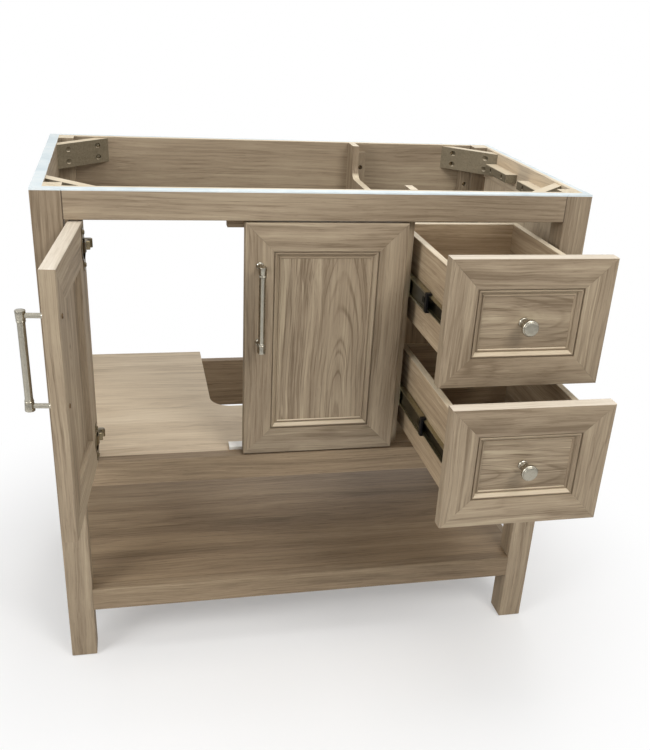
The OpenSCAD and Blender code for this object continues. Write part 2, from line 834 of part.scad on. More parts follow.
module left_door_panel() {
    color(wood) left_door_place() front_panel(door_w, door_h);
}

module left_door_pull() {
    color(nickel) left_door_place() pull();
}

module left_door_pull_screws() {
    color(nickel) left_door_place() pull_screws();
}

module left_door_hinge_cups() {
    color(nickel) left_door_place() hinge_places() hinge_cup();
}

module right_door_frame() {
    color(wood) right_door_place() door_frame();
}

module right_door_moulding() {
    color(wood) right_door_place() front_moulding(door_w, door_h);
}

module right_door_panel() {
    color(wood) right_door_place() front_panel(door_w, door_h);
}

module right_door_pull() {
    color(nickel) right_door_place() pull();
}

module right_door_pull_screws() {
    color(nickel) right_door_place() pull_screws();
}

module right_door_hinge_cups() {
    color(nickel) right_door_place() hinge_places() hinge_cup();
}

// Fixed half of a hinge: wall plate, arm, and the curved link that reaches into the cup.
// It is drawn beside a closed door whose hinge edge is at x = 0, with the wall at -front_gap.
module hinge_arm() {
    arm_y = pivot_depth + link_r + arm_gap;
    screw_from_end = 6;
    far = 60;
    translate([-front_gap, arm_y, -plate_h / 2]) cube([plate_t, plate_w, plate_h]);
    translate([0, 0, -link_h / 2]) linear_extrude(link_h) union() {
        translate([-front_gap + plate_t / 2, arm_y])
            square([front_gap - plate_t / 2 + arm_in + arm_w, plate_w - 2]);
        translate([arm_in, arm_y]) square([arm_w, arm_len]);
        translate([pivot_in, pivot_depth]) difference() {
            circle(r = link_r + link_t);
            circle(r = link_r);
            polygon([[0, 0], far * [cos(link_start), sin(link_start)], [far, -far],
                     [-far, -far], [-far, far], [0, far]]);
        }
    }
    for (side = [-1, 1])
        translate([-front_gap + plate_t, arm_y + plate_w / 2, side * (plate_h / 2 - screw_from_end)])
            rotate([0, 90, 0]) wood_screw(plate_t + hinge_screw_bite);
}

module hinge_arms() {
    color(nickel) from_corner() {
        translate([left_door_x, 0, door_z]) hinge_places() hinge_arm();
        translate([partition_x - front_gap, 0, door_z]) mirror([1, 0, 0])
            hinge_places() hinge_arm();
    }
}

// Drawers. Each is drawn closed, with the lower left corner of its front at the origin.

module top_drawer_place() {
    from_corner() translate([partition_x, -top_drawer_out, top_drawer_z]) children();
}

module bottom_drawer_place() {
    from_corner() translate([partition_x, -bottom_drawer_out, door_z]) children();
}

// The box behind the front, at its front lower left corner
module drawer_box_place() {
    translate([drawer_box_x - partition_x, front_t, drawer_box_rise]) children();
}

module drawer_sides() {
    drawer_box_place()
        for (right = [false, true])
            translate([right ? drawer_box_w : 0, 0, 0]) mirror(right ? [1, 0, 0] : [0, 0, 0])
                difference() {
                    board([drawer_wall_t, drawer_box_d, drawer_box_h], 1);
                    translate([drawer_wall_t - drawer_groove, -1, drawer_bottom_rise])
                        cube([drawer_groove + 1, drawer_box_d + 2, drawer_bottom_t]);
                }
}

module drawer_ends() {
    drawer_box_place()
        for (y = [0, drawer_box_d - drawer_wall_t])
            translate([drawer_wall_t, y, 0]) difference() {
                board([drawer_box_w - 2 * drawer_wall_t, drawer_wall_t, drawer_box_h]);
                translate([-1, y == 0 ? drawer_wall_t - drawer_groove : -1, drawer_bottom_rise])
                    cube([drawer_box_w, drawer_groove + 1, drawer_bottom_t]);
            }
}

module drawer_bottom() {
    inset = drawer_wall_t - drawer_groove + groove_fit;
    drawer_box_place() translate([inset, inset, drawer_bottom_rise])
        cube([drawer_box_w - 2 * inset, drawer_box_d - 2 * inset, drawer_bottom_t]);
}

// Turned knob: foot, neck and a stepped round head. It stands on the panel.
module drawer_knob() {
    head = knob_len - knob_head_t;
    translate([drawer_front_w / 2 - knob_side, panel_recess, drawer_front_h / 2])
        rotate([90, 0, 0]) rotate_extrude() polygon([
            [0, 0], [knob_foot_r, 0], [knob_foot_r, 2], [knob_foot_r - 0.8, 4.2],
            [knob_neck_r + 0.5, 6.8], [knob_neck_r, 9], [knob_neck_r + 0.4, head - 7],
            [knob_r - 5.5, head - 3.5], [knob_r - 2.6, head - 0.5], [knob_r - 1.8, head + 2],
            [knob_r - 0.4, head + 2.8], [knob_r, head + 3.8], [knob_r, knob_len - 2],
            [knob_r - 1.4, knob_len - 0.4], [knob_r - 3, knob_len], [0, knob_len]]);
}

// Sections of the slide members. x runs from the cabinet wall to the drawer box.

module cabinet_member_section() {
    translate([0, -slide_h / 2]) square([slide_steel, slide_h]);
    for (side = [-1, 1])
        translate([0, side * (slide_h - slide_steel) / 2 - slide_steel / 2])
            square([cabinet_lip, slide_steel]);
}

module middle_member_section() {
    outer = slide_h / 2 - slide_steel - slide_fit;
    translate([middle_web_x, -outer]) square([slide_steel, 2 * outer]);
    for (side = [-1, 1])
        translate([middle_inset, side * (outer - middle_lip_t / 2) - middle_lip_t / 2])
            square([middle_lip, middle_lip_t]);
}

module drawer_member_section() {
    outer = slide_h / 2 - slide_steel - 2 * slide_fit - middle_lip_t;
    translate([slide_w - slide_steel, -outer]) square([slide_steel, 2 * outer]);
    for (side = [-1, 1])
        translate([slide_w - drawer_lip, side * (outer - drawer_lip_t / 2) - drawer_lip_t / 2])
            square([drawer_lip, drawer_lip_t]);
}

// Extrudes a section back along +Y from the origin.
module along_slide(length) {
    rotate([-90, 0, 0]) mirror([0, 1, 0]) linear_extrude(length) children();
}

// Both slides of a drawer whose front has its lower left corner at the origin
module slide_pair() {
    for (right = [false, true])
        translate([(right ? drawer_wall_x : partition_right_x) - partition_x, slide_y, slide_rise])
            mirror(right ? [1, 0, 0] : [0, 0, 0]) children();
}

module middle_members() {
    start = middle_setback + guide_len;
    first = start + window_len / 2;
    windows = [[first, window_len], [first + window_len + window_strip, window_len / 2],
               [slide_len - 4 * window_len, window_len]];
    slide_pair() difference() {
        translate([0, start, 0]) along_slide(slide_len - start) middle_member_section();
        for (window = windows)
            translate([middle_web_x - 1, window[0], -window_h / 2])
                cube([slide_steel + 2, window[1], window_h]);
    }
}

// Plastic guide that ends each middle member at the front
module middle_guides() {
    outer = slide_h / 2 - slide_steel - slide_fit;
    slide_pair() translate([0, middle_setback, 0]) along_slide(guide_len) union() {
        middle_member_section();
        translate([middle_inset, -outer])
            square([middle_web_x + slide_steel - middle_inset, 2 * outer]);
    }
}

module cabinet_slide_members() {
    color(zinc) from_corner()
        for (z = [door_z, top_drawer_z])
            translate([partition_x, 0, z]) slide_pair()
                along_slide(slide_len) cabinet_member_section();
}

module drawer_slide_members() {
    slide_pair() along_slide(slide_len) drawer_member_section();
}

// Moves the middle members half as far as their drawer
module half_way(out) {
    translate([0, out / 2, 0]) children();
}

module top_drawer_frame() {
    color(wood) top_drawer_place() front_frame(drawer_front_w, drawer_front_h);
}

module top_drawer_moulding() {
    color(wood) top_drawer_place() front_moulding(drawer_front_w, drawer_front_h);
}

module top_drawer_panel() {
    color(wood) top_drawer_place() front_panel(drawer_front_w, drawer_front_h);
}

module top_drawer_sides() {
    color(light_wood) top_drawer_place() drawer_sides();
}

module top_drawer_ends() {
    color(light_wood) top_drawer_place() drawer_ends();
}

module top_drawer_bottom() {
    color(light_wood) top_drawer_place() drawer_bottom();
}

module top_drawer_knob() {
    color(nickel) top_drawer_place() drawer_knob();
}

module top_drawer_slide_members() {
    color(zinc) top_drawer_place() drawer_slide_members();
}

module bottom_drawer_frame() {
    color(wood) bottom_drawer_place() front_frame(drawer_front_w, drawer_front_h);
}

module bottom_drawer_moulding() {
    color(wood) bottom_drawer_place() front_moulding(drawer_front_w, drawer_front_h);
}

module bottom_drawer_panel() {
    color(wood) bottom_drawer_place() front_panel(drawer_front_w, drawer_front_h);
}

module bottom_drawer_sides() {
    color(light_wood) bottom_drawer_place() drawer_sides();
}

module bottom_drawer_ends() {
    color(light_wood) bottom_drawer_place() drawer_ends();
}

module bottom_drawer_bottom() {
    color(light_wood) bottom_drawer_place() drawer_bottom();
}

module bottom_drawer_knob() {
    color(nickel) bottom_drawer_place() drawer_knob();
}

module bottom_drawer_slide_members() {
    color(zinc) bottom_drawer_place() drawer_slide_members();
}

module top_middle_slides() {
    color(zinc) top_drawer_place() half_way(top_drawer_out) middle_members();
}

module top_slide_guides() {
    color(black_plastic) top_drawer_place() half_way(top_drawer_out) middle_guides();
}

module bottom_middle_slides() {
    color(zinc) bottom_drawer_place() half_way(bottom_drawer_out) middle_members();
}

module bottom_slide_guides() {
    color(black_plastic) bottom_drawer_place() half_way(bottom_drawer_out) middle_guides();
}

front_left_leg();
front_right_leg();
rear_left_leg();
rear_right_leg();
left_side_rails();
right_side_rails();
side_panels();
drawer_back_panel();
front_top_rail();
front_middle_rail();
back_top_rail();
back_middle_rail();
cabinet_floor();
partition();
lower_shelf();
shelf_front_rail();
shelf_back_rail();
shelf_side_rails();
front_corner_braces();
rear_corner_braces();
right_side_blocks();
rear_battens();
slide_spacers();
door_stop_block();
door_bumper();
wood_screws();
hinge_arms();
cabinet_slide_members();
left_door_frame();
left_door_moulding();
left_door_panel();
left_door_pull();
left_door_pull_screws();
left_door_hinge_cups();
right_door_frame();
right_door_moulding();
right_door_panel();
right_door_pull();
right_door_pull_screws();
right_door_hinge_cups();
top_drawer_frame();
top_drawer_moulding();
top_drawer_panel();
top_drawer_sides();
top_drawer_ends();
top_drawer_bottom();
top_drawer_knob();
top_drawer_slide_members();
bottom_drawer_frame();
bottom_drawer_moulding();
bottom_drawer_panel();
bottom_drawer_sides();
bottom_drawer_ends();
bottom_drawer_bottom();
bottom_drawer_knob();
bottom_drawer_slide_members();
top_middle_slides();
top_slide_guides();
bottom_middle_slides();
bottom_slide_guides();
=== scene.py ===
"""Looks of the vanity base: stained wood with a white top rim, satin nickel pulls and knobs,
zinc drawer slides, soft studio light on a white floor, and the photograph's camera.
Lengths are in metres where nothing else is said."""

import itertools
import json
import math

import bmesh
import bpy
from mathutils import Matrix, Vector


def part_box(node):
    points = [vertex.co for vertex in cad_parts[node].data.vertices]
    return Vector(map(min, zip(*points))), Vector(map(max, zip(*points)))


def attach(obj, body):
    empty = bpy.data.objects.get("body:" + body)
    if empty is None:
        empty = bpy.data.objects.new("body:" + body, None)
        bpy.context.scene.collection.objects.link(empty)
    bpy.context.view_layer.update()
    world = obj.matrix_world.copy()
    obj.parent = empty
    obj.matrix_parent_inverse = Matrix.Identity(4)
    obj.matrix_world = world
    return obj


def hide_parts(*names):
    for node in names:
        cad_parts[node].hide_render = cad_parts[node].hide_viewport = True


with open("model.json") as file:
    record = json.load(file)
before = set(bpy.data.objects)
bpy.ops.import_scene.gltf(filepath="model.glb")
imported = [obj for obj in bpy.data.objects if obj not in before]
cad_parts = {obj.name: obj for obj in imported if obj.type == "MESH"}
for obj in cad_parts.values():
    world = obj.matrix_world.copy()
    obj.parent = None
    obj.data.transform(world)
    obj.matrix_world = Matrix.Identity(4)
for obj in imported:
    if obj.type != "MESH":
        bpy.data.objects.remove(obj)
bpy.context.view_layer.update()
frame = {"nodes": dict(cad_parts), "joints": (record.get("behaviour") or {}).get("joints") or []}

MM = 0.001
# Size of the photograph in pixels
WIDTH, HEIGHT = 650, 750


def lin(r, g, b):
    """An sRGB colour from 0 to 255 as linear RGBA."""
    out = []
    for c in (r, g, b):
        c /= 255
        out.append(c / 12.92 if c <= 0.04045 else ((c + 0.055) / 1.055) ** 2.4)
    return (*out, 1.0)


def grey(value):
    """A grey as linear RGBA."""
    return (value, value, value, 1.0)


def times(colour, factor):
    """A colour made darker or lighter."""
    return tuple(factor * c for c in colour[:3]) + (1.0,)


# Node helpers

# Sockets of a colour mix, whose names occur several times
MIX_FACTOR, MIX_A, MIX_B, MIX_RESULT = 0, 6, 7, 2


class Nodes:
    """Short calls for building a node tree."""

    def __init__(self, tree):
        self.tree = tree

    def add(self, kind, inputs=None, **props):
        """A new node with its properties and its inputs, which are values or sockets."""
        node = self.tree.nodes.new(kind)
        for key, value in props.items():
            setattr(node, key, value)
        for key, value in (inputs or {}).items():
            self.put(node.inputs[key], value)
        return node

    def put(self, socket, value):
        """Links a socket to another one, or gives it a plain value."""
        if isinstance(value, bpy.types.NodeSocket):
            self.tree.links.new(value, socket)
        else:
            socket.default_value = value

    def math(self, operation, a, b=0.0, c=0.0, clamp=False):
        node = self.add("ShaderNodeMath", operation=operation, use_clamp=clamp)
        for socket, value in zip(node.inputs, (a, b, c)):
            self.put(socket, value)
        return node.outputs[0]

    def product(self, a, b):
        return self.math("MULTIPLY", a, b)

    def larger(self, a, b):
        return self.math("MAXIMUM", a, b)

    def about(self, value, middle=0.5):
        """A value measured from the middle of its range."""
        return self.math("SUBTRACT", value, middle)

    def more(self, total, layer, weight):
        """A total with a layer added, times its weight."""
        return self.math("MULTIPLY_ADD", layer, weight, total)

    def vector(self, operation, a, b):
        node = self.add("ShaderNodeVectorMath", {0: a, 1: b}, operation=operation)
        return node.outputs[0]

    def scaled(self, vector, factor):
        node = self.add("ShaderNodeVectorMath", {0: vector, "Scale": factor}, operation="SCALE")
        return node.outputs[0]

    def length(self, vector):
        node = self.add("ShaderNodeVectorMath", {0: vector}, operation="LENGTH")
        return node.outputs["Value"]

    def split(self, vector):
        """The parts of a vector by axis."""
        return self.add("ShaderNodeSeparateXYZ", {"Vector": vector}).outputs

    def attribute(self, name):
        return self.add("ShaderNodeAttribute", attribute_name=name).outputs["Vector"]

    def place(self):
        """Where the surface is, in the object's own frame."""
        return self.add("ShaderNodeTexCoord").outputs["Object"]

    def facing(self, axis, low, high):
        """0 where the surface's normal along an axis is below low, and 1 above high."""
        normal = self.add("ShaderNodeNewGeometry").outputs["Normal"]
        return self.step(self.split(normal)[axis], low, high)

    def noise(self, vector, scale, detail, roughness=0.5, output="Fac"):
        """A noise with about scale waves per metre."""
        node = self.add(
            "ShaderNodeTexNoise",
            {"Vector": vector, "Scale": scale, "Detail": detail, "Roughness": roughness},
        )
        return node.outputs[output]

    def line_noise(self, value, scale, detail, roughness=0.5):
        """A noise that depends on one value."""
        node = self.add(
            "ShaderNodeTexNoise",
            {"W": value, "Scale": scale, "Detail": detail, "Roughness": roughness},
            noise_dimensions="1D",
        )
        return node.outputs["Fac"]

    def ramp(self, factor, stops):
        """A ramp through (position, colour) stops."""
        node = self.add("ShaderNodeValToRGB", {"Fac": factor})
        elements = node.color_ramp.elements
        while len(elements) < len(stops):
            elements.new(0.5)
        for element, (position, colour) in zip(elements, stops):
            element.position = position
            element.color = colour
        return node.outputs["Color"]

    def mix(self, factor, a, b):
        """Colour a at factor 0, and b at 1."""
        node = self.add("ShaderNodeMix", data_type="RGBA", blend_type="MIX")
        self.put(node.inputs[MIX_FACTOR], factor)
        self.put(node.inputs[MIX_A], a)
        self.put(node.inputs[MIX_B], b)
        return node.outputs[MIX_RESULT]

    def step(self, value, low, high):
        """0 below low, 1 above high."""
        node = self.add("ShaderNodeMapRange", {"Value": value, "From Min": low, "From Max": high})
        return node.outputs[0]

    def bump(self, shader, height, strength, distance):
        """Gives a shader a fine relief."""
        node = self.add("ShaderNodeBump", {"Height": height, "Strength": strength, "Distance": distance})
        self.put(shader.inputs["Normal"], node.outputs[0])


def material(name):
    """A new material, its nodes and its shader."""
    made = bpy.data.materials.new(name)
    made.use_nodes = True
    return made, Nodes(made.node_tree), made.node_tree.nodes["Principled BSDF"]


# Wood

# Step from one board to the next along the grain, in the space that holds the grain of all boards
REACH = 10.0
# Steps by which boards also lie beside and behind each other there, and after how many these repeat
BESIDE, BESIDE_COUNT, BEHIND, BEHIND_COUNT = 21 * MM, 5, 17 * MM, 7
# Stretch of each kind of grain, along and across the board
SLOW_STRETCH = (0.22, 0.6, 0.6)
LONG_STRETCH = (0.03, 1.0, 1.0)
THIN_STRETCH = (0.022, 1.0, 1.0)
PORE_STRETCH = (0.08, 1.0, 1.0)
# Shifts that keep the layers of thin streaks apart
GROUP_SHIFT = (1.7, 0.2, 0.5)
DARK_SHIFT = (3.1, 0.4, 0.7)
HAIR_SHIFT = (5.3, 0.9, 0.2)
# Noise of each layer: waves per metre, detail and roughness
DRIFT = (11.0, 2.0, 0.5)
WIGGLE = (60.0, 2.0, 0.5)
RINGS = (70.0, 1.0, 0.5)
LATE_WOOD = (125.0, 0.0, 0.5)
LATE_PATCHES = (45.0, 2.0, 0.5)
BANDS = (62.0, 2.0, 0.55)
FIBRES = (330.0, 3.0, 0.62)
GROUPS = (26.0, 1.0, 0.5)
LIGHT_STREAKS = (240.0, 1.0, 0.5)
DARK_STREAKS = (300.0, 1.0, 0.5)
HAIRS = (560.0, 2.0, 0.5)
PORES = (900.0, 1.0, 0.5)
BROAD = (9.0, 2.0, 0.5)
# How far drift and wiggle move the grain sideways
DRIFT_SIZE, WIGGLE_SIZE = 24 * MM, 4 * MM
# Noise at which a layer begins to show, and at which it shows in full
LATE_LINE = (0.08, 0.0)
PATCHES_SHOW = (0.40, 0.62)
GROUPS_SHOW = (0.40, 0.62)
LIGHT_SHOWS = (0.57, 0.70)
DARK_SHOWS = (0.55, 0.70)
HAIRS_SHOW = (0.54, 0.64)
PORES_SHOW = (0.62, 0.74)
# What each layer adds to the tone
LATE_ADDS, BANDS_ADD, LIGHT_ADDS, DARK_ADDS = -0.42, 0.78, 0.32, -0.22
FIBRES_ADD, BROAD_ADDS, HAIRS_ADD, PORES_ADD = 0.55, 0.62, -0.12, -0.12
MIDDLE_TONE = 0.51
# Depth of the pores against the height of the fibres
PORE_DEPTH = -0.8


def grain_group():
    """Wood grain in metres, with the grain along X. Heart is the place of the tree's middle beside
    the board. It gives a tone around 0.5 and a height."""
    tree = bpy.data.node_groups.new("wood_grain", "ShaderNodeTree")
    for name, kind in (("Vector", "Vector"), ("Heart", "Vector"), ("Rings", "Float"),
                       ("Streaks", "Float"), ("Tilt", "Float")):
        tree.interface.new_socket(name, in_out="INPUT", socket_type=f"NodeSocket{kind}")
    for name in ("Tone", "Height"):
        tree.interface.new_socket(name, in_out="OUTPUT", socket_type="NodeSocketFloat")
    nodes = Nodes(tree)
    given = nodes.add("NodeGroupInput").outputs
    result = nodes.add("NodeGroupOutput")
    middle = (0.5, 0.5, 0.5)
    # Distance from the heart, which wanders slowly. Tilt inclines the heart to the board, so that
    # the rings cut its face in nested arches.
    slow = nodes.vector("MULTIPLY", given["Vector"], SLOW_STRETCH)
    drift = nodes.vector("SUBTRACT", nodes.noise(slow, *DRIFT, output="Color"), middle)
    wiggle = nodes.vector("SUBTRACT", nodes.noise(slow, *WIGGLE, output="Color"), middle)
    bent = nodes.vector("ADD", given["Vector"], nodes.scaled(drift, DRIFT_SIZE))
    bent = nodes.vector("ADD", bent, nodes.scaled(wiggle, WIGGLE_SIZE))
    along = nodes.math("WRAP", nodes.split(given["Vector"])["X"], REACH / 2, -REACH / 2)
    climb = nodes.add("ShaderNodeCombineXYZ", {"Z": nodes.product(along, given["Tilt"])})
    out = nodes.vector("ADD", nodes.vector("SUBTRACT", bent, given["Heart"]), climb.outputs[0])
    distance = nodes.length(nodes.vector("MULTIPLY", out, (0.0, 1.0, 1.0)))
    rings = nodes.line_noise(distance, *RINGS)
    # Thin dark late wood that comes and goes along the rings
    late = nodes.math("ABSOLUTE", nodes.about(nodes.line_noise(distance, *LATE_WOOD)))
    patches = nodes.step(nodes.noise(slow, *LATE_PATCHES), *PATCHES_SHOW)
    lines = nodes.product(nodes.step(late, *LATE_LINE), patches)
    # Soft bands, thin light and dark streaks that come in groups, fibres and short pores
    long = nodes.vector("MULTIPLY", bent, LONG_STRETCH)
    thin = nodes.vector("MULTIPLY", bent, THIN_STRETCH)
    bands = nodes.noise(long, *BANDS)
    fibres = nodes.noise(long, *FIBRES)
    groups = nodes.step(nodes.noise(nodes.vector("ADD", thin, GROUP_SHIFT), *GROUPS), *GROUPS_SHOW)
    light = nodes.step(nodes.noise(thin, *LIGHT_STREAKS), *LIGHT_SHOWS)
    dark = nodes.step(nodes.noise(nodes.vector("ADD", thin, DARK_SHIFT), *DARK_STREAKS), *DARK_SHOWS)
    hairs = nodes.step(nodes.noise(nodes.vector("ADD", thin, HAIR_SHIFT), *HAIRS), *HAIRS_SHOW)
    pores = nodes.step(nodes.noise(nodes.vector("MULTIPLY", bent, PORE_STRETCH), *PORES), *PORES_SHOW)
    broad = nodes.noise(slow, *BROAD)
    streaks = nodes.product(nodes.about(bands), BANDS_ADD)
    streaks = nodes.more(streaks, nodes.product(light, groups), LIGHT_ADDS)
    streaks = nodes.more(streaks, nodes.product(dark, groups), DARK_ADDS)
    tone = nodes.product(nodes.about(rings), given["Rings"])
    tone = nodes.more(tone, nodes.product(lines, given["Rings"]), LATE_ADDS)
    tone = nodes.more(tone, streaks, given["Streaks"])
    tone = nodes.more(tone, nodes.about(fibres), FIBRES_ADD)
    tone = nodes.more(tone, nodes.about(broad), BROAD_ADDS)
    tone = nodes.more(tone, hairs, HAIRS_ADD)
    tone = nodes.more(tone, pores, PORES_ADD)
    nodes.put(result.inputs["Tone"], nodes.math("ADD", tone, MIDDLE_TONE, clamp=True))
    nodes.put(result.inputs["Height"], nodes.more(fibres, pores, PORE_DEPTH))
    return tree


GRAIN = grain_group()

# Darkest, middle and lightest colour of each wood
STAINED = (lin(122, 105, 84), lin(155, 138, 115), lin(181, 165, 139))
BOARD = (lin(188, 168, 142), lin(219, 201, 174), lin(235, 220, 194))
DRAWER = (lin(134, 115, 92), lin(168, 148, 121), lin(194, 176, 148))
# SHADED is the stained wood, darker and warmer, as painted shade for parts that lie in shade: the middle
# rails, the shelf and its front rail, the drawer back and the door stop
SHADED = (lin(100, 84, 65), lin(133, 115, 92), lin(160, 142, 116))
RAW = (lin(198, 181, 152), lin(224, 209, 182), lin(238, 227, 205))
KHAKI = (lin(96, 87, 69), lin(126, 115, 94), lin(145, 133, 110))
# Colours of painted light from above, on faces that look up: the top edges of the frames, and the slopes
# of the lower moulding bars
LIT_EDGE = (lin(206, 193, 173), lin(225, 213, 195), lin(237, 228, 213))
LIT_SLOPE = (lin(196, 178, 150), lin(214, 198, 172), lin(230, 217, 195))
# Tones at which a wood has these colours
WOOD_STOPS = (0.12, 0.5, 0.88)
RAW_STOPS = (0.1, 0.5, 0.9)

# Turns that lay the grain along an axis
TURNS = {
    "x": (0, 0, 0),
    "y": (0, 0, -math.pi / 2),
    "z": (0, math.pi / 2, 0),
}
BOARD_NUMBERS = itertools.count(1)

# Normals that count as facing up, and on rounded edges facing up, which take painted light from above,
# and to the left; and the right half of the unit, whose faces that look left take painted light
FACES_UP, EDGE_UP, FACES_LEFT = (0.6, 0.8), (0.3, 0.8), (-0.5, -0.7)
RIGHT_HALF = (0.0, 10 * MM)
# Height of the grain at which a wood is roughest and smoothest, how much that changes, its gloss,
# and how strong and how deep its pores are
ROUGH_HEIGHTS, WOOD_VARIES, WOOD_GLOSS = (1.6, 0.0), 0.16, 0.3
WOOD_BUMP, WOOD_RELIEF = 0.16, 0.6 * MM
# Dark joint at the ends of a front rail: how far before the end it begins and where it is full,
# how strong it is, and its colour
JOINT_BEGINS, JOINT_FULL, JOINT_STRENGTH, JOINT = 1.3 * MM, 1.1 * MM, 0.8, lin(58, 44, 34)
# Painted strip round the top: the height at which the top begins, the inner edges of the strip's
# four sides, how soft these are and how far they wobble
LEGS_LOW, LEGS_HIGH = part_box("front_left_leg")[0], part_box("rear_right_leg")[1]
TOP = (LEGS_HIGH.z - 3.5 * MM, LEGS_HIGH.z - 2.5 * MM)
STRIP_LEFT, STRIP_RIGHT = LEGS_LOW.x + 18 * MM, LEGS_HIGH.x - 11 * MM
STRIP_FRONT, STRIP_BACK = LEGS_LOW.y + 14.5 * MM, LEGS_HIGH.y - 10 * MM
STRIP_SOFT, STRIP_WOBBLE = 0.5 * MM, 1 * MM
# Noise of the wobble and of the paint, and the paint's colours
WOBBLE, PAINT_CLOUDS = (24.0, 2.0), (22.0, 3.0, 0.55)
PAINT = [(0.32, lin(208, 219, 223)), (0.5, lin(218, 228, 231)), (0.7, lin(226, 233, 234))]


def graded(nodes, tone, colours, stops=WOOD_STOPS):
    """The colours of a wood by its tone."""
    return nodes.ramp(tone, list(zip(stops, colours)))


def board(nodes, grain, own, rings, streaks, tilt, heart):
    """The tone and height of a board of its own, laid along an axis or as its mesh says."""
    number = next(BOARD_NUMBERS)
    if own:
        place = nodes.add("ShaderNodeMapping", {"Vector": nodes.attribute("grain"),
                                                "Location": (REACH * number, 0, 0)})
    else:
        turned = nodes.add("ShaderNodeMapping", {"Vector": nodes.place(), "Rotation": TURNS[grain]})
        shift = (REACH * number, BESIDE * (number % BESIDE_COUNT), BEHIND * (number % BEHIND_COUNT))
        place = nodes.add("ShaderNodeMapping", {"Vector": turned.outputs[0], "Location": shift})
    group = nodes.add("ShaderNodeGroup", node_tree=GRAIN)
    for socket, value in (("Vector", place.outputs[0]), ("Heart", (0, *heart)), ("Rings", rings),
                          ("Streaks", streaks), ("Tilt", tilt)):
        nodes.put(group.inputs[socket], value)
    return group.outputs["Tone"], group.outputs["Height"]


def with_rim(nodes, colour, tone):
    """A colour with bare wood on the top of the unit, and white paint on the top's outer strip."""
    axes = nodes.split(nodes.place())
    high = nodes.step(axes["Z"], *TOP)
    wobble = nodes.more(-STRIP_WOBBLE, nodes.noise(nodes.place(), *WOBBLE), 2 * STRIP_WOBBLE)
    across = nodes.math("ADD", axes["X"], wobble)
    depth = nodes.math("ADD", axes["Y"], wobble)
    left = nodes.step(across, STRIP_LEFT, STRIP_LEFT - STRIP_SOFT)
    right = nodes.step(across, STRIP_RIGHT, STRIP_RIGHT + STRIP_SOFT)
    front_side = nodes.step(depth, STRIP_FRONT, STRIP_FRONT - STRIP_SOFT)
    back_side = nodes.step(depth, STRIP_BACK, STRIP_BACK + STRIP_SOFT)
    strip = nodes.larger(nodes.larger(left, right), nodes.larger(front_side, back_side))
    bare = nodes.product(high, nodes.facing("Z", *FACES_UP))
    colour = nodes.mix(bare, colour, graded(nodes, tone, RAW, RAW_STOPS))
    paint = nodes.ramp(nodes.noise(nodes.place(), *PAINT_CLOUDS), PAINT)
    return nodes.mix(nodes.product(high, strip), colour, paint)


def wood(name, colours, grain="x", own=False, rings=0.4, streaks=0.7, tilt=0.0, heart=(0.03, 0.05),
         rim=False, raw_top=False, upper=None, inner=None, tint=1.0, rough=0.5, ends=None):
    """A wood whose grain runs along an axis, or along the first value of the mesh's own grain
    attribute. heart is the tree's middle, across and behind the board. rim paints the outer strip
    of its top white, and raw_top leaves its top bare. upper gives other colours to what faces up,
    as far as the mesh's own attribute of tone and painted light says: painted light from above.
    inner gives other colours to the faces right of the middle that look to the left: painted light
    on the inside of the right side. tint makes the board darker or lighter, and ends draws the dark
    joints of a rail that reaches so far to the left and to the right."""
    made, nodes, shader = material(name)
    tone, height = board(nodes, grain, own, rings, streaks, tilt, heart)
    colour = graded(nodes, tone, [times(c, tint) for c in colours])
    if own:
        tone_and_painted_light = nodes.split(nodes.attribute("tone_and_painted_light"))
        colour = nodes.scaled(colour, tone_and_painted_light["X"])
    if ends:
        reach = nodes.math("ABSOLUTE", nodes.split(nodes.place())["X"])
        joint = nodes.product(nodes.step(reach, ends - JOINT_BEGINS, ends - JOINT_FULL), JOINT_STRENGTH)
        colour = nodes.mix(joint, colour, JOINT)
    # Painted light: faces in the right half that look to the left, on the inside of the right side, take
    # a paler wood's colours
    if inner:
        right_half = nodes.step(nodes.split(nodes.place())["X"], *RIGHT_HALF)
        inside = nodes.product(nodes.facing("X", *FACES_LEFT), right_half)
        colour = nodes.mix(inside, colour, graded(nodes, tone, inner))
    # Painted light from above: faces that look up take paler colours, as far as the mesh's attribute
    # says
    if upper:
        edge = nodes.product(nodes.facing("Z", *EDGE_UP), tone_and_painted_light["Y"])
        colour = nodes.mix(edge, colour, graded(nodes, tone, upper))
    if raw_top:
        bare = graded(nodes, tone, RAW, RAW_STOPS)
        colour = nodes.mix(nodes.facing("Z", *FACES_UP), colour, bare)
    if rim:
        colour = with_rim(nodes, colour, tone)
    nodes.put(shader.inputs["Base Color"], colour)
    roughness = nodes.more(rough, nodes.step(height, *ROUGH_HEIGHTS), WOOD_VARIES)
    nodes.put(shader.inputs["Roughness"], roughness)
    shader.inputs["Specular IOR Level"].default_value = WOOD_GLOSS
    nodes.bump(shader, height, WOOD_BUMP, WOOD_RELIEF)
    return made


# Metal and plastic

# Noise of the brushing and of the spots of a metal, and where its spots show
BRUSHING, SPOTS, SPOTS_SHOW = (1560.0, 2.0, 0.6), (260.0, 4.0, 0.6), (0.42, 0.72)
# How much the roughness of a metal varies, and how strong its brushing is
METAL_VARIES, METAL_BUMP = 0.08, 0.02
# How soft the edge of a slide's web is, and how much lighter its light spots are
WEB_SOFT, WEB_SPOTS = 0.6 * MM, 1.5
# Noise of the grain and of the clouds of a plastic, and where its clouds show
MOULD_GRAIN, CLOUDS, CLOUDS_SHOW = (1400.0, 2.0, 0.6), (70.0, 3.0), (0.35, 0.7)
PLASTIC_VARIES, PLASTIC_BUMP = 0.12, 0.12
# Depth of the relief of metal and plastic
FINE_RELIEF = 0.2 * MM


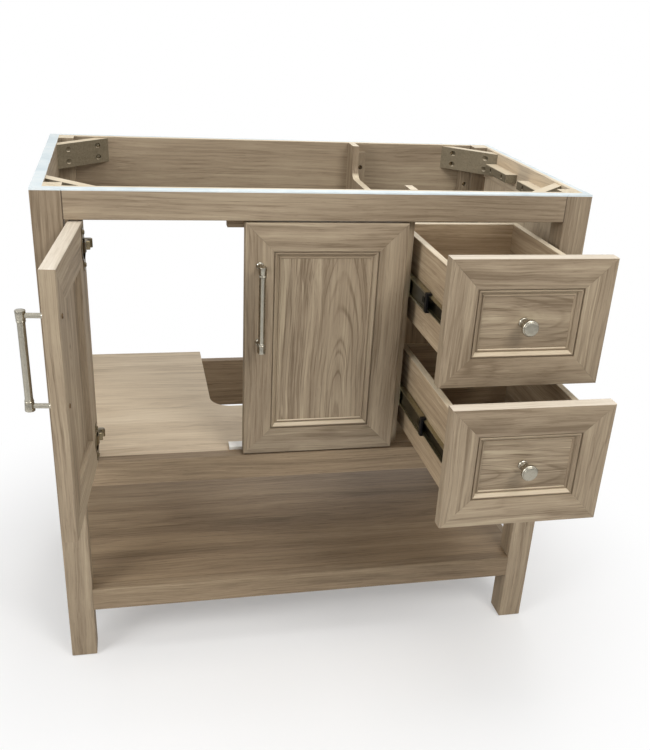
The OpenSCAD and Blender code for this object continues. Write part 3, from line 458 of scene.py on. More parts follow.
def metal(name, colour, rough, patch, web=None):
    """A metal with fine brushing and faint spots of the second colour. web is the height of the
    middle of a slide member, half the height of its web, and the web's colour, which is darker:
    painted shade in the channel, and the dark of the ball cage and grease that are not drawn."""
    made, nodes, shader = material(name)
    fine = nodes.noise(nodes.place(), *BRUSHING)
    spots = nodes.noise(nodes.place(), *SPOTS)
    base = nodes.mix(nodes.step(spots, *SPOTS_SHOW), colour, patch)
    if web:
        middle, half, shade = web
        away = nodes.math("ABSOLUTE", nodes.about(nodes.split(nodes.place())["Z"], middle))
        inside = nodes.step(away, half, half - WEB_SOFT)
        base = nodes.mix(inside, base, nodes.mix(spots, shade, times(shade, WEB_SPOTS)))
    nodes.put(shader.inputs["Base Color"], base)
    nodes.put(shader.inputs["Roughness"], nodes.more(rough - METAL_VARIES / 2, fine, METAL_VARIES))
    shader.inputs["Metallic"].default_value = 1.0
    nodes.bump(shader, fine, METAL_BUMP, FINE_RELIEF)
    return made


def plastic(name, colour, patch, rough, gloss=0.5):
    """A moulded plastic with a faint grain."""
    made, nodes, shader = material(name)
    fine = nodes.noise(nodes.place(), *MOULD_GRAIN)
    clouds = nodes.noise(nodes.place(), *CLOUDS)
    nodes.put(shader.inputs["Base Color"], nodes.mix(nodes.step(clouds, *CLOUDS_SHOW), colour, patch))
    nodes.put(shader.inputs["Roughness"], nodes.more(rough, clouds, PLASTIC_VARIES))
    shader.inputs["Specular IOR Level"].default_value = gloss
    nodes.bump(shader, fine, PLASTIC_BUMP, FINE_RELIEF)
    return made


NICKEL = metal("nickel", lin(172, 167, 153), 0.27, lin(164, 158, 144))
HINGE = metal("hinge_steel", lin(126, 114, 90), 0.3, lin(102, 91, 70))
ZINC_LIGHT, ZINC_DARK, ZINC_ROUGH = lin(176, 170, 142), lin(150, 143, 116), 0.32
ZINC = metal("zinc", ZINC_LIGHT, ZINC_ROUGH, ZINC_DARK)
SCREW = metal("screw", lin(178, 166, 142), 0.24, lin(128, 117, 96))
BRONZE = metal("pull_screw", lin(132, 112, 88), 0.34, lin(104, 86, 64))
BLACK = plastic("black_plastic", lin(8, 8, 9), lin(14, 14, 15), 0.45, 0.2)
WHITE = plastic("white_plastic", lin(248, 247, 242), lin(240, 238, 231), 0.4)


def slide(node, lip, shade):
    """Zinc for the slide members of a node, whose webs are darker between their lips: painted shade in
    the channel, and the dark of the ball cage and grease that are not drawn.
    """
    low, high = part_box(node)
    web = ((low.z + high.z) / 2, (high.z - low.z) / 2 - lip, shade)
    return metal(node, ZINC_LIGHT, ZINC_ROUGH, ZINC_DARK, web)


def dress(node, made):
    """Gives a CAD node its material."""
    mesh = frame["nodes"][node].data
    mesh.materials.clear()
    mesh.materials.append(made)


for leg in ("front_left_leg", "front_right_leg", "rear_left_leg", "rear_right_leg"):
    dress(leg, wood(leg, STAINED, "z", tilt=0.02, rim=True, tint=0.93))
TOP_RAILS = ("left_side_rails", "right_side_rails", "front_top_rail", "back_top_rail")
RAIL_TINT = 0.96
# The middle rails and the shelf's front rail take the painted-shade wood, and their tints above 1 lift
# it partly back, as painted light where they lie in shade
for rail, axis, tones, tint in (
    ("left_side_rails", "y", STAINED, RAIL_TINT), ("right_side_rails", "y", STAINED, RAIL_TINT),
    ("front_top_rail", "x", STAINED, RAIL_TINT), ("back_top_rail", "x", STAINED, RAIL_TINT),
    ("front_middle_rail", "x", SHADED, 1.2), ("back_middle_rail", "x", SHADED, 1.35),
    ("shelf_front_rail", "x", SHADED, 1.04), ("shelf_back_rail", "x", STAINED, RAIL_TINT),
    ("shelf_side_rails", "y", STAINED, RAIL_TINT), ("slide_spacers", "y", STAINED, RAIL_TINT),
    ("rear_battens", "z", STAINED, RAIL_TINT),
):
    # The inner faces of the right side rails take the pale board's colours, as painted light falling
    # from the left
    inner = BOARD if rail == "right_side_rails" else None
    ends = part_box(rail)[1].x if rail.startswith("front") else None
    rim = rail in TOP_RAILS
    dress(rail, wood(rail, tones, axis, tilt=0.02, rim=rim, inner=inner, tint=tint, ends=ends))
# The lower shelf takes the painted-shade wood; the tints above 1 of the shelf and of the drawers' ends
# and bottoms are painted light in these hollows
for node, look in (
    # The side panels' inner faces on the right take the pale board's colours, as painted light falling
    # from the left
    ("side_panels", dict(colours=STAINED, grain="z", rings=0.5, tilt=0.07, heart=(0.02, 0.07),
                         inner=BOARD)),
    ("drawer_back_panel", dict(colours=SHADED, grain="z", rings=0.7)),
    ("cabinet_floor", dict(colours=BOARD, rings=0.5)),
    ("lower_shelf", dict(colours=SHADED, rings=0.3, streaks=0.5, tint=1.26)),
    ("partition", dict(colours=STAINED, grain="z", rings=0.5, raw_top=True)),
    ("front_corner_braces", dict(colours=KHAKI, rings=0.2, streaks=0.3, raw_top=True, rough=0.6)),
    ("rear_corner_braces", dict(colours=KHAKI, rings=0.2, streaks=0.3, raw_top=True, rough=0.6)),
    ("right_side_blocks", dict(colours=KHAKI, grain="y", rings=0.3, raw_top=True, rough=0.6)),
    ("door_stop_block", dict(colours=SHADED, rings=0.3, rough=0.6)),
    ("top_drawer_sides", dict(colours=DRAWER, grain="y", raw_top=True)),
    ("top_drawer_ends", dict(colours=DRAWER, raw_top=True, tint=1.24)),
    ("top_drawer_bottom", dict(colours=DRAWER, tint=1.1)),
    ("bottom_drawer_sides", dict(colours=DRAWER, grain="y", raw_top=True)),
    ("bottom_drawer_ends", dict(colours=DRAWER, raw_top=True, tint=1.24)),
    ("bottom_drawer_bottom", dict(colours=DRAWER, tint=1.1)),
):
    dress(node, wood(node, **look))
dress("door_bumper", WHITE)
dress("wood_screws", SCREW)
dress("cabinet_slide_members", ZINC)
for side in ("left", "right"):
    dress(f"{side}_door_hinge_cups", HINGE)
    dress(f"{side}_door_pull_screws", BRONZE)
for drawer in ("top", "bottom"):
    members, middles = f"{drawer}_drawer_slide_members", f"{drawer}_middle_slides"
    # Dark webs of the slide members: painted shade in their channels, and the dark of the ball cage and
    # grease
    dress(members, slide(members, 2 * MM, lin(44, 42, 33)))
    dress(middles, slide(middles, 3 * MM, lin(86, 82, 66)))
    dress(f"{drawer}_slide_guides", BLACK)


# Making pieces


def mesh_piece(name, verts, faces, grain, made, body, replaces, smooth=None, matrix=None,
               tone_and_painted_light=None):
    """Makes one piece of the object. grain gives each point its place in the wood, the last argument
    its brightness, partly board tone and partly painted shade and light, and how far its upper faces
    are paler as painted light from above, and smooth the angle over which an edge stays sharp."""
    mesh = bpy.data.meshes.new(name)
    mesh.from_pydata([tuple(v) for v in verts], [], faces)
    mesh.update()
    if grain is not None:
        attribute = mesh.attributes.new("grain", "FLOAT_VECTOR", "POINT")
        attribute.data.foreach_set("vector", [c for g in grain for c in g])
        attribute = mesh.attributes.new("tone_and_painted_light", "FLOAT_VECTOR", "POINT")
        attribute.data.foreach_set("vector", [c for f in tone_and_painted_light for c in (*f, 0.0)])
    mesh.materials.append(made)
    if smooth is not None:
        mesh.shade_smooth()
        mesh.set_sharp_from_angle(angle=math.radians(smooth))
    obj = bpy.data.objects.new(name, mesh)
    bpy.context.scene.collection.objects.link(obj)
    if matrix is not None:
        obj.matrix_world = matrix
    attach(obj, body)
    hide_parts(*replaces)
    return obj


def lathe(profile, steps=40):
    """Turns a profile of (radius, height) round the Z axis."""
    verts, faces = [], []
    for radius, z in profile:
        for k in range(steps):
            angle = 2 * math.pi * k / steps
            verts.append((radius * math.cos(angle), radius * math.sin(angle), z))
    for i in range(len(profile) - 1):
        for k in range(steps):
            j = (k + 1) % steps
            faces.append((i * steps + k, i * steps + j, (i + 1) * steps + j, (i + 1) * steps + k))
    faces.append(tuple(reversed(range(steps))))
    last = (len(profile) - 1) * steps
    faces.append(tuple(last + k for k in range(steps)))
    return verts, faces


def prism(outline, low, high, rounding):
    """An outline, drawn counter-clockwise, as a solid from low to high with rounded rims."""
    work = bmesh.new()
    below = [work.verts.new((x, y, low)) for x, y in outline]
    above = [work.verts.new((x, y, high)) for x, y in outline]
    work.faces.new(list(reversed(below)))
    work.faces.new(above)
    for k in range(len(outline)):
        j = (k + 1) % len(outline)
        work.faces.new((below[k], below[j], above[j], above[k]))
    rims = [e for e in work.edges if abs(e.verts[0].co.z - e.verts[1].co.z) < rounding]
    bmesh.ops.bevel(work, geom=rims, offset=rounding, segments=3, profile=0.5, affect="EDGES")
    work.verts.index_update()
    shape = [tuple(v.co) for v in work.verts], [tuple(v.index for v in f.verts) for f in work.faces]
    work.free()
    return shape


def join(shapes):
    """Several shapes as one list of points and one of faces."""
    verts, faces = [], []
    for shape_verts, shape_faces in shapes:
        first = len(verts)
        verts += shape_verts
        faces += [tuple(first + i for i in face) for face in shape_faces]
    return verts, faces


def mapped(shape, change):
    """A shape whose points are all moved by a function."""
    verts, faces = shape
    return [change(*v) for v in verts], faces


def helper(name, shape):
    """An object for a cut only."""
    mesh = bpy.data.meshes.new(name)
    mesh.from_pydata(shape[0], [], shape[1])
    obj = bpy.data.objects.new(name, mesh)
    bpy.context.scene.collection.objects.link(obj)
    return obj


def without(shape, tool):
    """A closed shape with another one cut out of it."""
    uncut, cutter = helper("uncut", shape), helper("cutter", tool)
    change = uncut.modifiers.new("cut", "BOOLEAN")
    change.operation = "DIFFERENCE"
    change.solver = "EXACT"
    change.object = cutter
    result = uncut.evaluated_get(bpy.context.evaluated_depsgraph_get()).to_mesh()
    verts = [tuple(v.co) for v in result.vertices]
    faces = [tuple(f.vertices) for f in result.polygons]
    for obj in (uncut, cutter):
        mesh = obj.data
        bpy.data.objects.remove(obj, do_unlink=True)
        bpy.data.meshes.remove(mesh)
    return verts, faces


def placed(verts, corner, flip):
    """Moves points from a front's own frame to the row frame. flip mirrors them in X."""
    cx, cy, cz = corner
    sign = -1 if flip else 1
    return [(cx + sign * x, cy + y, cz + z) for x, y, z in verts]


def flipped(faces, flip):
    """Faces turned over where their points are mirrored."""
    return [tuple(reversed(f)) for f in faces] if flip else faces


# Doors and drawer fronts

# Thickness of a front, width of the flat part of a bar, and the panel's depth, thickness and play
FRONT_THICK, FLAT_WIDE = 22 * MM, 47 * MM
PANEL_RECESS, PANEL_THICK, PANEL_PLAY = 8.5 * MM, 5 * MM, 0.5 * MM
# How much each bar is shortened at a mitre
SEAM = 0.12 * MM
# Distance of the hinges from the ends of a door, and of the middle of their cups from its edge
HINGE_INSET, CUP_X = 40 * MM, 21 * MM
# Depth and radius of the bore for a cup, and the length of the tool that cuts it
CUP_DEPTH, CUP_RADIUS = 11.5 * MM, 17.65 * MM
CUP_TOOL = CUP_DEPTH + 1 * MM
# Angles in degrees over which an edge stays sharp
SMOOTH_BARS, SMOOTH_METAL = 30, 35

# The bars of a front, counted round it from the lower one. The near one carries the hinges.
LOWER, FAR, UPPER, NEAR = range(4)
# Steps from one bar to the next in the wood, along and across, and how deep all of them lie in it
BAR_ALONG, BAR_ACROSS, BAR_DEEP = 1.3, 0.11, 0.3


def arc(depth, width, radius, start, end, steps):
    """Points (depth, width) of an arc. Angle 0 points inwards and 90 to the front."""
    out = []
    for k in range(steps + 1):
        angle = math.radians(start + (end - start) * k / steps)
        out.append((depth - radius * math.sin(angle), width + radius * math.cos(angle)))
    return out


def mm(points):
    """Pairs of millimetres as pairs of metres."""
    return [(a * MM, b * MM) for a, b in points]


# Outlines of a frame bar and of its moulding in millimetres, as depth behind the face and distance
# from the outer edge. The bar has a rounded outer edge, a flat face and a step for the panel. The
# moulding has a groove, a nosing, a slope, a narrow groove and a bead.
FRAME_PROFILE = mm(
    [(22, 0.9), (21.1, 0.0), (1.3, 0.0)]
    + arc(1.3, 1.3, 1.3, 180, 90, 4)[1:]
    + [(0.0, 46.2), (0.25, 46.75), (0.8, 47.0), (13.5, 47.0), (13.5, 60.5), (21.3, 60.5), (22, 59.8)]
)
MOULDING_PROFILE = mm(
    [(8.5, 47.15), (4.4, 47.15), (4.4, 48.65)]
    + arc(2.9, 50.15, 1.5, 180, 55, 8)
    + [(2.4, 51.6), (4.3, 53.35), (5.9, 54.6), (6.9, 55.2), (8.0, 55.3), (8.0, 56.7)]
    + arc(8.0, 58.4, 1.6, 160, 0, 8)
    + [(8.5, 60.5)]
)


def mitred(wide, tall, profile, offset, bored=False):
    """Points, faces and grain of four mitred bars around a front that is so wide and so tall, and
    the number of each point's bar. Points are (x, depth, z) from the front's lower left corner.
    bored cuts the holes for the hinge cups into the back of the near bar and its neighbours."""
    verts, faces, grain, owners = [], [], [], []
    sides = (
        (LOWER, wide, lambda a, b: (a, b), lambda x, z: (x, z)),
        (FAR, tall, lambda a, b: (wide - b, a), lambda x, z: (z, wide - x)),
        (UPPER, wide, lambda a, b: (wide - a, tall - b), lambda x, z: (wide - x, tall - z)),
        (NEAR, tall, lambda a, b: (b, tall - a), lambda x, z: (tall - z, x)),
    )
    count = len(profile)
    for number, length, place, back in sides:
        points = []
        for end in (0, 1):
            for depth, width in profile:
                along = width + SEAM if end == 0 else length - width - SEAM
                x, z = place(along, width)
                points.append((x, depth, z))
        sheets = [(k, count + k, count + (k + 1) % count, (k + 1) % count) for k in range(count)]
        sheets += [tuple(range(count)), tuple(reversed(range(count, 2 * count)))]
        if bored and number != FAR:
            for height in (HINGE_INSET, tall - HINGE_INSET):
                hole = mapped(lathe([(CUP_RADIUS, 0.0), (CUP_RADIUS, CUP_TOOL)], steps=48),
                              lambda x, y, z: (CUP_X + x, FRONT_THICK - CUP_DEPTH + z, height - y))
                points, sheets = without((points, sheets), hole)
        first = len(verts)
        verts += points
        faces += [tuple(first + k for k in sheet) for sheet in sheets]
        for x, depth, z in points:
            along, width = back(x, z)
            grain.append((along + BAR_ALONG * number + offset, width + BAR_ACROSS * number,
                          depth + BAR_DEEP))
            owners.append(number)
    return verts, faces, grain, owners


def panel(wide, tall, along_x, offset, heart):
    """Points, faces and grain of the panel of a front. heart is the tree's middle, across and
    behind the board. No point belongs to a bar."""
    inset = FLAT_WIDE + PANEL_PLAY
    x0, x1, z0, z1 = inset, wide - inset, inset, tall - inset
    y0, y1 = PANEL_RECESS, PANEL_RECESS + PANEL_THICK
    verts = [(x, y, z) for y in (y0, y1) for z in (z0, z1) for x in (x0, x1)]
    faces = [(0, 1, 3, 2), (5, 4, 6, 7), (4, 5, 1, 0), (2, 3, 7, 6), (4, 0, 2, 6), (1, 5, 7, 3)]
    middle = (x0 + x1) / 2, (z0 + z1) / 2
    grain = []
    for x, y, z in verts:
        x, z = x - middle[0], z - middle[1]
        along, across = (x, z) if along_x else (z, x)
        grain.append((along + offset, across - heart[0], y - heart[1]))
    return verts, faces, grain, None


# Up-facing faces of the frame and of the lower moulding bar take paler colours, as painted light from
# above
STILE = wood("front_frame", STAINED, own=True, rings=0.62, streaks=0.85, tilt=0.02, upper=LIT_EDGE,
             tint=0.95)
TRIM = wood("front_moulding", STAINED, own=True, rings=0.15, streaks=0.5, upper=LIT_SLOPE, tint=0.94)
PANEL = wood("front_panel", STAINED, own=True, rings=0.9, streaks=1.4, tilt=-0.15, heart=(0, 0),
             tint=0.93)


def front(name, corner, wide, tall, number, heart, flip=False, matrix=None, along_x=False,
          bars=(1, 1, 1, 1), lit_top_edge=1):
    """The frame, moulding and panel of a door or a drawer front. number tells its wood from that of
    the other fronts, bars is the brightness of the lower, far, upper and near bar, partly the tone of
    each board and partly painted shade and light, and the last argument says how far the top edge is
    paler, as painted light from above."""
    offset = 3 * number * REACH
    door = name.endswith("door")
    for part, made, slot, smooth, paler, (verts, faces, grain, owners) in (
        ("frame", STILE, "painted_wood", SMOOTH_BARS, {UPPER: lit_top_edge},
         mitred(wide, tall, FRAME_PROFILE, offset, door)),
        ("moulding", TRIM, "painted_wood", SMOOTH_BARS, {LOWER: 1},
         mitred(wide, tall, MOULDING_PROFILE, offset + REACH)),
        ("panel", PANEL, "panel_wood", None, {},
         panel(wide, tall, along_x, offset + 2 * REACH, heart)),
    ):
        if owners is None:
            tone_and_painted_light = [(1, 0)] * len(verts)
        else:
            tone_and_painted_light = [(bars[k], paler.get(k, 0)) for k in owners]
        mesh_piece(f"{name}_{part}_wood", placed(verts, corner, flip), flipped(faces, flip), grain,
                   made, name, [f"{name}_{part}"], smooth, matrix, tone_and_painted_light)


right_low, right_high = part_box("right_door_frame")
DOOR_WIDE = right_high.x - right_low.x
DOOR_TALL = right_high.z - right_low.z
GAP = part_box("front_top_rail")[0].z - right_high.z
LEFT_CORNER = (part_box("front_left_leg")[1].x + GAP, right_low.y, right_low.z)
RIGHT_CORNER = (right_high.x, right_low.y, right_low.z)
# The left door is drawn closed and then turned to where it stands at rest
hinge = [j for j in frame["joints"] if j["name"] == "left_door_hinge"][0]
PIVOT = Vector(hinge["pos_m"])
LEFT_OPEN = (
    Matrix.Translation(PIVOT)
    @ Matrix.Rotation(math.radians(hinge["range_deg"][0]), 4, "Z")
    @ Matrix.Translation(-PIVOT)
)
front("left_door", LEFT_CORNER, DOOR_WIDE, DOOR_TALL, 0, (0.02, 0.03), matrix=LEFT_OPEN)
# The right door's lower and near bars are darker, partly the tone of their boards and partly painted
# shade; its top edge gets no painted light, since the rail above shades it
front("right_door", RIGHT_CORNER, DOOR_WIDE, DOOR_TALL, 1, (-0.032, 0.034), flip=True,
      bars=(0.85, 1.0, 1.0, 0.96), lit_top_edge=0)
# The drawers' lower bars are lighter, partly board tone and partly painted light
for number, drawer in enumerate(("top", "bottom")):
    low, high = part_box(f"{drawer}_drawer_frame")
    front(f"{drawer}_drawer", low, high.x - low.x, high.z - low.z, 2 + number,
          (0.012 - 0.03 * number, 0.03), along_x=True, bars=(1.06, 1.0, 1.0, 1.0))


# Pulls and knobs

BAR_RADIUS, CAP_RADIUS, POST_RADIUS, ROSE_RADIUS = 5.6 * MM, 7.2 * MM, 3.7 * MM, 6.7 * MM
# How far a pull stands off, and its place from the free edge and the upper edge of its door
STANDOFF, PULL_INSET, PULL_DROP = 32 * MM, 24 * MM, 136 * MM
PULL_RISE = DOOR_TALL - PULL_DROP
# Distance between the posts, and how far a cap and its rings reach out and in from a post
POSTS, CAP_OUT, CAP_IN = 132 * MM, 7.5 * MM, 10 * MM
# Outlines of a cap and of the double ring beside it in millimetres: how far they lie inside the
# cap's radius, and how far from the end of the bar or from the inner end of the rings
CAP_SHAPE = mm([(0.9, 0.0), (0.2, 0.35), (0.0, 1.0), (0.25, 5.0)])
RINGS_SHAPE = mm([
    (0.6, 5.2), (0.8, 4.6), (1.4, 4.2), (1.4, 3.8), (0.8, 3.4), (0.5, 2.8), (0.8, 2.2), (1.4, 1.8),
    (1.4, 1.4), (1.0, 1.0), (1.0, 0.5),
])


def pull_shape():
    """The bar with its turned ends, and the two posts. The door's face is at depth 0."""
    half = POSTS / 2 + CAP_OUT
    ring = POSTS / 2 - CAP_IN
    end = [(CAP_RADIUS - inside, half - down) for inside, down in CAP_SHAPE]
    end += [(CAP_RADIUS - inside, ring + up) for inside, up in RINGS_SHAPE]
    end.append((BAR_RADIUS, ring))
    bar = mapped(lathe([(r, -z) for r, z in end] + list(reversed(end))),
                 lambda x, y, z: (x, y - STANDOFF, z + PULL_RISE))
    post = [
        (ROSE_RADIUS, 0.0), (ROSE_RADIUS, 0.7 * MM), (ROSE_RADIUS - 0.4 * MM, 1.5 * MM),
        (ROSE_RADIUS - 1.3 * MM, 2.3 * MM), (POST_RADIUS + 0.7 * MM, 3.0 * MM),
        (POST_RADIUS + 0.1 * MM, 4.2 * MM), (POST_RADIUS, 5.5 * MM),
        (POST_RADIUS, STANDOFF - BAR_RADIUS * 0.8),
    ]
    posts = [
        mapped(lathe(post, steps=28), lambda x, y, z, s=s: (x, -z, y + PULL_RISE + s * POSTS / 2))
        for s in (-1, 1)
    ]
    return join([bar] + posts)


DOORS = (("left", LEFT_CORNER, False, LEFT_OPEN), ("right", RIGHT_CORNER, True, None))
for side, corner, flip, matrix in DOORS:
    verts, faces = mapped(pull_shape(), lambda x, y, z: (x + DOOR_WIDE - PULL_INSET, y, z))
    mesh_piece(f"{side}_door_pull_bar", placed(verts, corner, flip), flipped(faces, flip), None,
               NICKEL, f"{side}_door", [f"{side}_door_pull"], SMOOTH_METAL, matrix)

# Outline of a knob in millimetres, as radius and distance from the panel
KNOB_FOOT = [(8.2, 0), (8.2, 1.4), (8.0, 2.1), (7.5, 2.6), (6.9, 2.9), (6.6, 3.4), (6.8, 4.0),
             (7.4, 4.6), (7.7, 5.5), (7.5, 6.5), (6.9, 7.6)]
KNOB_NECK = [(6.2, 9.0), (5.8, 10.5), (5.7, 12.5), (6.1, 14.5), (7.0, 16.2)]
KNOB_SHOULDER = [(8.6, 17.8), (10.4, 19.4), (11.3, 20.8), (11.6, 22.4), (11.8, 23.2)]
KNOB_RIM = [(12.6, 23.5), (13.2, 24.0), (13.5, 24.8), (13.5, 27.6), (13.4, 28.5), (13.0, 29.4),
            (12.4, 30.1)]
KNOB_FACE = [(11.8, 30.4), (11.5, 30.5), (11.4, 31.2), (11.1, 31.7), (10.6, 32.0), (6.0, 32.0)]
KNOB = mm(KNOB_FOOT + KNOB_NECK + KNOB_SHOULDER + KNOB_RIM + KNOB_FACE)
for drawer in ("top", "bottom"):
    low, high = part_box(f"{drawer}_drawer_knob")
    centre_x, centre_z = (low.x + high.x) / 2, (low.z + high.z) / 2
    verts, faces = mapped(lathe(KNOB, steps=48),
                          lambda x, y, z: (x + centre_x, high.y - z, y + centre_z))
    mesh_piece(f"{drawer}_drawer_knob_turned", verts, faces, None, NICKEL, f"{drawer}_drawer",
               [f"{drawer}_drawer_knob"], SMOOTH_METAL)


# Fixed halves of the hinges

# The curved link: the angle in degrees where it starts, its thickness and the steps of its arcs
LINK_START, LINK_THICK, LINK_STEPS = 15, 6 * MM, 8
# Room that the link and the body leave for the door's back corner, which swings past them
LINK_CLEAR, BODY_CLEAR = 0.35 * MM, 0.85 * MM
BODY_END, BODY_DEEP, BODY_TALL = 37 * MM, 9.5 * MM, 13.8 * MM
# Cut corners of the body's free end, and its rounding
BODY_FRONT_CUT, BODY_BACK_CUT, BODY_ROUND = 1.5 * MM, 3 * MM, 0.8 * MM
PLATE_THICK, PLATE_DEEP, PLATE_TALL, PLATE_ROUND = 2.5 * MM, 18 * MM, 48 * MM, 0.5 * MM
# Distance of a screw from the end of the plate
SCREW_IN = 6 * MM
# Outline of a screw in millimetres, as radius and height over its seat
SCREW_SHAPE = mm([
    (2.0, -10.5), (2.0, 0.0), (3.8, 0.0), (3.8, 0.9), (3.5, 1.5), (2.8, 2.0), (1.6, 2.2),
])


def hinge_arm():
    """Plate, body and curved link, drawn beside a closed door whose hinge edge is at x = 0."""
    across, deep = PIVOT.x - LEFT_CORNER[0], PIVOT.y - LEFT_CORNER[1]
    swing = math.hypot(across, FRONT_THICK - deep)
    inside, outside = swing + LINK_CLEAR, swing + LINK_CLEAR + LINK_THICK
    face = deep + swing + BODY_CLEAR
    back = face + BODY_DEEP
    meet = math.degrees(math.asin((face - deep) / outside))
    wall = -GAP

    def bend(radius, start, end):
        """Points of an arc round the pivot."""
        turns = [math.radians(start + (end - start) * k / LINK_STEPS) for k in range(LINK_STEPS + 1)]
        return [(across + radius * math.cos(t), deep + radius * math.sin(t)) for t in turns]

    outline = (
        [(wall + PLATE_THICK / 2, back), (wall + PLATE_THICK / 2, face), (across, face)]
        + bend(inside, 90, LINK_START) + bend(outside, LINK_START, meet)
        + [(BODY_END - BODY_FRONT_CUT, face), (BODY_END, face + BODY_FRONT_CUT),
           (BODY_END, back - BODY_BACK_CUT), (BODY_END - BODY_BACK_CUT, back)]
    )
    body = prism(outline, -BODY_TALL / 2, BODY_TALL / 2, BODY_ROUND)
    sheet = [(wall, face), (wall + PLATE_THICK, face), (wall + PLATE_THICK, face + PLATE_DEEP),
             (wall, face + PLATE_DEEP)]
    plate = prism(sheet, -PLATE_TALL / 2, PLATE_TALL / 2, PLATE_ROUND)
    screws = []
    for side in (-1, 1):
        seat = (wall + PLATE_THICK, face + PLATE_DEEP / 2, side * (PLATE_TALL / 2 - SCREW_IN))
        screws.append(mapped(lathe(SCREW_SHAPE, steps=24),
                             lambda x, y, z, s=seat: (s[0] + z, s[1] + x, s[2] + y)))
    return join([body, plate] + screws)


arms = []
arm = hinge_arm()
for side, corner, flip, matrix in DOORS:
    for height in (HINGE_INSET, DOOR_TALL - HINGE_INSET):
        verts, faces = mapped(arm, lambda x, y, z: (x, y, z + height))
        arms.append((placed(verts, corner, flip), flipped(faces, flip)))
verts, faces = join(arms)
mesh_piece("hinge_arms_steel", verts, faces, None, HINGE, "cabinet", ["hinge_arms"],
           SMOOTH_METAL)


# Floor, world, lamps and camera

FLOOR_HALF = 14.0
FLOOR_HAZE, FLOOR_SHADES, FLOOR_ROUGH = (1.5, 2.0), [(0.3, grey(0.92)), (0.7, grey(0.94))], 0.9
# How much of the floor the camera sees as plain white: this share up to the first distance from the
# middle, and all of it from the second on
WHITE_SHARE, FADE_FROM, FADE_TO = 0.3, 0.4, 0.95
WORLD_GREY = 0.38


def studio_floor():
    """A pale floor that takes the object's shadow, and that the camera sees as plain white away
    from the object."""
    corners = [(-FLOOR_HALF, -FLOOR_HALF, 0), (FLOOR_HALF, -FLOOR_HALF, 0),
               (FLOOR_HALF, FLOOR_HALF, 0), (-FLOOR_HALF, FLOOR_HALF, 0)]
    mesh = bpy.data.meshes.new("studio_floor")
    mesh.from_pydata(corners, [], [(0, 1, 2, 3)])
    made, nodes, shader = material("studio_floor")
    haze = nodes.noise(nodes.place(), *FLOOR_HAZE)
    nodes.put(shader.inputs["Base Color"], nodes.ramp(haze, FLOOR_SHADES))
    shader.inputs["Roughness"].default_value = FLOOR_ROUGH
    shader.inputs["Specular IOR Level"].default_value = 0.0
    path = nodes.add("ShaderNodeLightPath")
    fade = nodes.add(
        "ShaderNodeMapRange",
        {"Value": nodes.length(nodes.place()), "From Min": FADE_FROM, "From Max": FADE_TO,
         "To Min": WHITE_SHARE, "To Max": 1.0},
        interpolation_type="SMOOTHSTEP",
    )
    white = nodes.add("ShaderNodeEmission", {"Color": grey(1.0), "Strength": 1.0})
    seen = nodes.product(path.outputs["Is Camera Ray"], fade.outputs[0])
    blend = nodes.add("ShaderNodeMixShader", {0: seen, 1: shader.outputs[0], 2: white.outputs[0]})
    output = made.node_tree.nodes["Material Output"]
    nodes.put(output.inputs["Surface"], blend.outputs[0])
    mesh.materials.append(made)
    floor = bpy.data.objects.new("studio_floor", mesh)
    bpy.context.scene.collection.objects.link(floor)


def studio_world():
    """Grey light from all sides that the camera, metal and glass see as white."""
    world = bpy.data.worlds.new("studio")
    bpy.context.scene.world = world
    world.use_nodes = True
    nodes = Nodes(world.node_tree)
    path = nodes.add("ShaderNodeLightPath").outputs
    mirrored = nodes.larger(path["Is Glossy Ray"], path["Is Transmission Ray"])
    seen = nodes.larger(path["Is Camera Ray"], mirrored)
    background = world.node_tree.nodes["Background"]
    nodes.put(background.inputs["Color"], nodes.mix(seen, grey(WORLD_GREY), grey(1.0)))
    background.inputs["Strength"].default_value = 1.0


def area(name, place, target, size, power, colour=(1, 1, 1)):
    """A square lamp at place that faces target."""
    data = bpy.data.lights.new(name, "AREA")
    data.shape = "SQUARE"
    data.size = size
    data.energy = power
    data.color = colour
    obj = bpy.data.objects.new(name, data)
    obj.location = place
    obj.rotation_euler = (Vector(target) - Vector(place)).to_track_quat("-Z", "Y").to_euler()
    bpy.context.scene.collection.objects.link(obj)


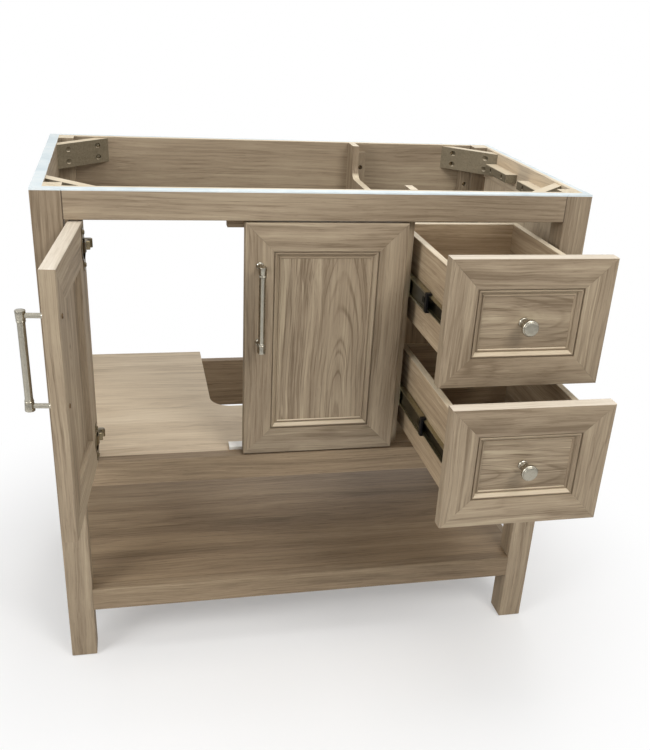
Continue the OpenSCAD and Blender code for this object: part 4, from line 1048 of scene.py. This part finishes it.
studio_floor()
studio_world()
area("key", (0.9, -2.2, 2.4), (0.0, 0.0, 0.5), 1.0, 32.0, (1.0, 0.985, 0.96))
area("fill", (-2.2, -1.5, 1.6), (0.0, 0.0, 0.5), 1.2, 32.0)
area("overhead", (0.0, -0.3, 3.2), (0.0, 0.0, 0.4), 1.3, 19.5)
area("rear", (0.9, 2.7, 1.6), (0.0, 0.0, 0.7), 1.2, 15.0)

# Camera solved from the photograph: focal length and principal point in pixels, turns in radians,
# place in metres. The sensor's width is Blender's own, in millimetres.
FOCAL, CENTRE_X, CENTRE_Y = 912.15, 342.69, 436.51
YAW, PITCH, ROLL = -0.2451, 0.4617, 0.0638
PLACE = (-0.31304, -1.69178, 1.18256)
SENSOR = 36.0


def camera_axes():
    """The camera's right, down and forward directions."""
    cy, sy = math.cos(YAW), math.sin(YAW)
    cp, sp = math.cos(PITCH), math.sin(PITCH)
    cr, sr = math.cos(ROLL), math.sin(ROLL)
    turn = Matrix(((cy, sy, 0), (-sy, cy, 0), (0, 0, 1)))
    base = Matrix(((1, 0, 0), (0, 0, -1), (0, 1, 0)))
    tilt = Matrix(((1, 0, 0), (0, cp, -sp), (0, sp, cp)))
    lean = Matrix(((cr, -sr, 0), (sr, cr, 0), (0, 0, 1)))
    return lean @ tilt @ base @ turn


right, down, forward = camera_axes()
camera = bpy.data.objects.new("camera", bpy.data.cameras.new("camera"))
bpy.context.scene.collection.objects.link(camera)
camera.matrix_world = Matrix((
    (right[0], -down[0], -forward[0], PLACE[0]),
    (right[1], -down[1], -forward[1], PLACE[1]),
    (right[2], -down[2], -forward[2], PLACE[2]),
    (0, 0, 0, 1),
))
camera.data.sensor_fit = "HORIZONTAL"
camera.data.sensor_width = SENSOR
camera.data.lens = FOCAL * SENSOR / WIDTH
camera.data.shift_x = (WIDTH / 2 - CENTRE_X) / WIDTH
camera.data.shift_y = (CENTRE_Y - HEIGHT / 2) / WIDTH
bpy.context.scene.camera = camera
bpy.context.scene.view_settings.view_transform = "Standard"
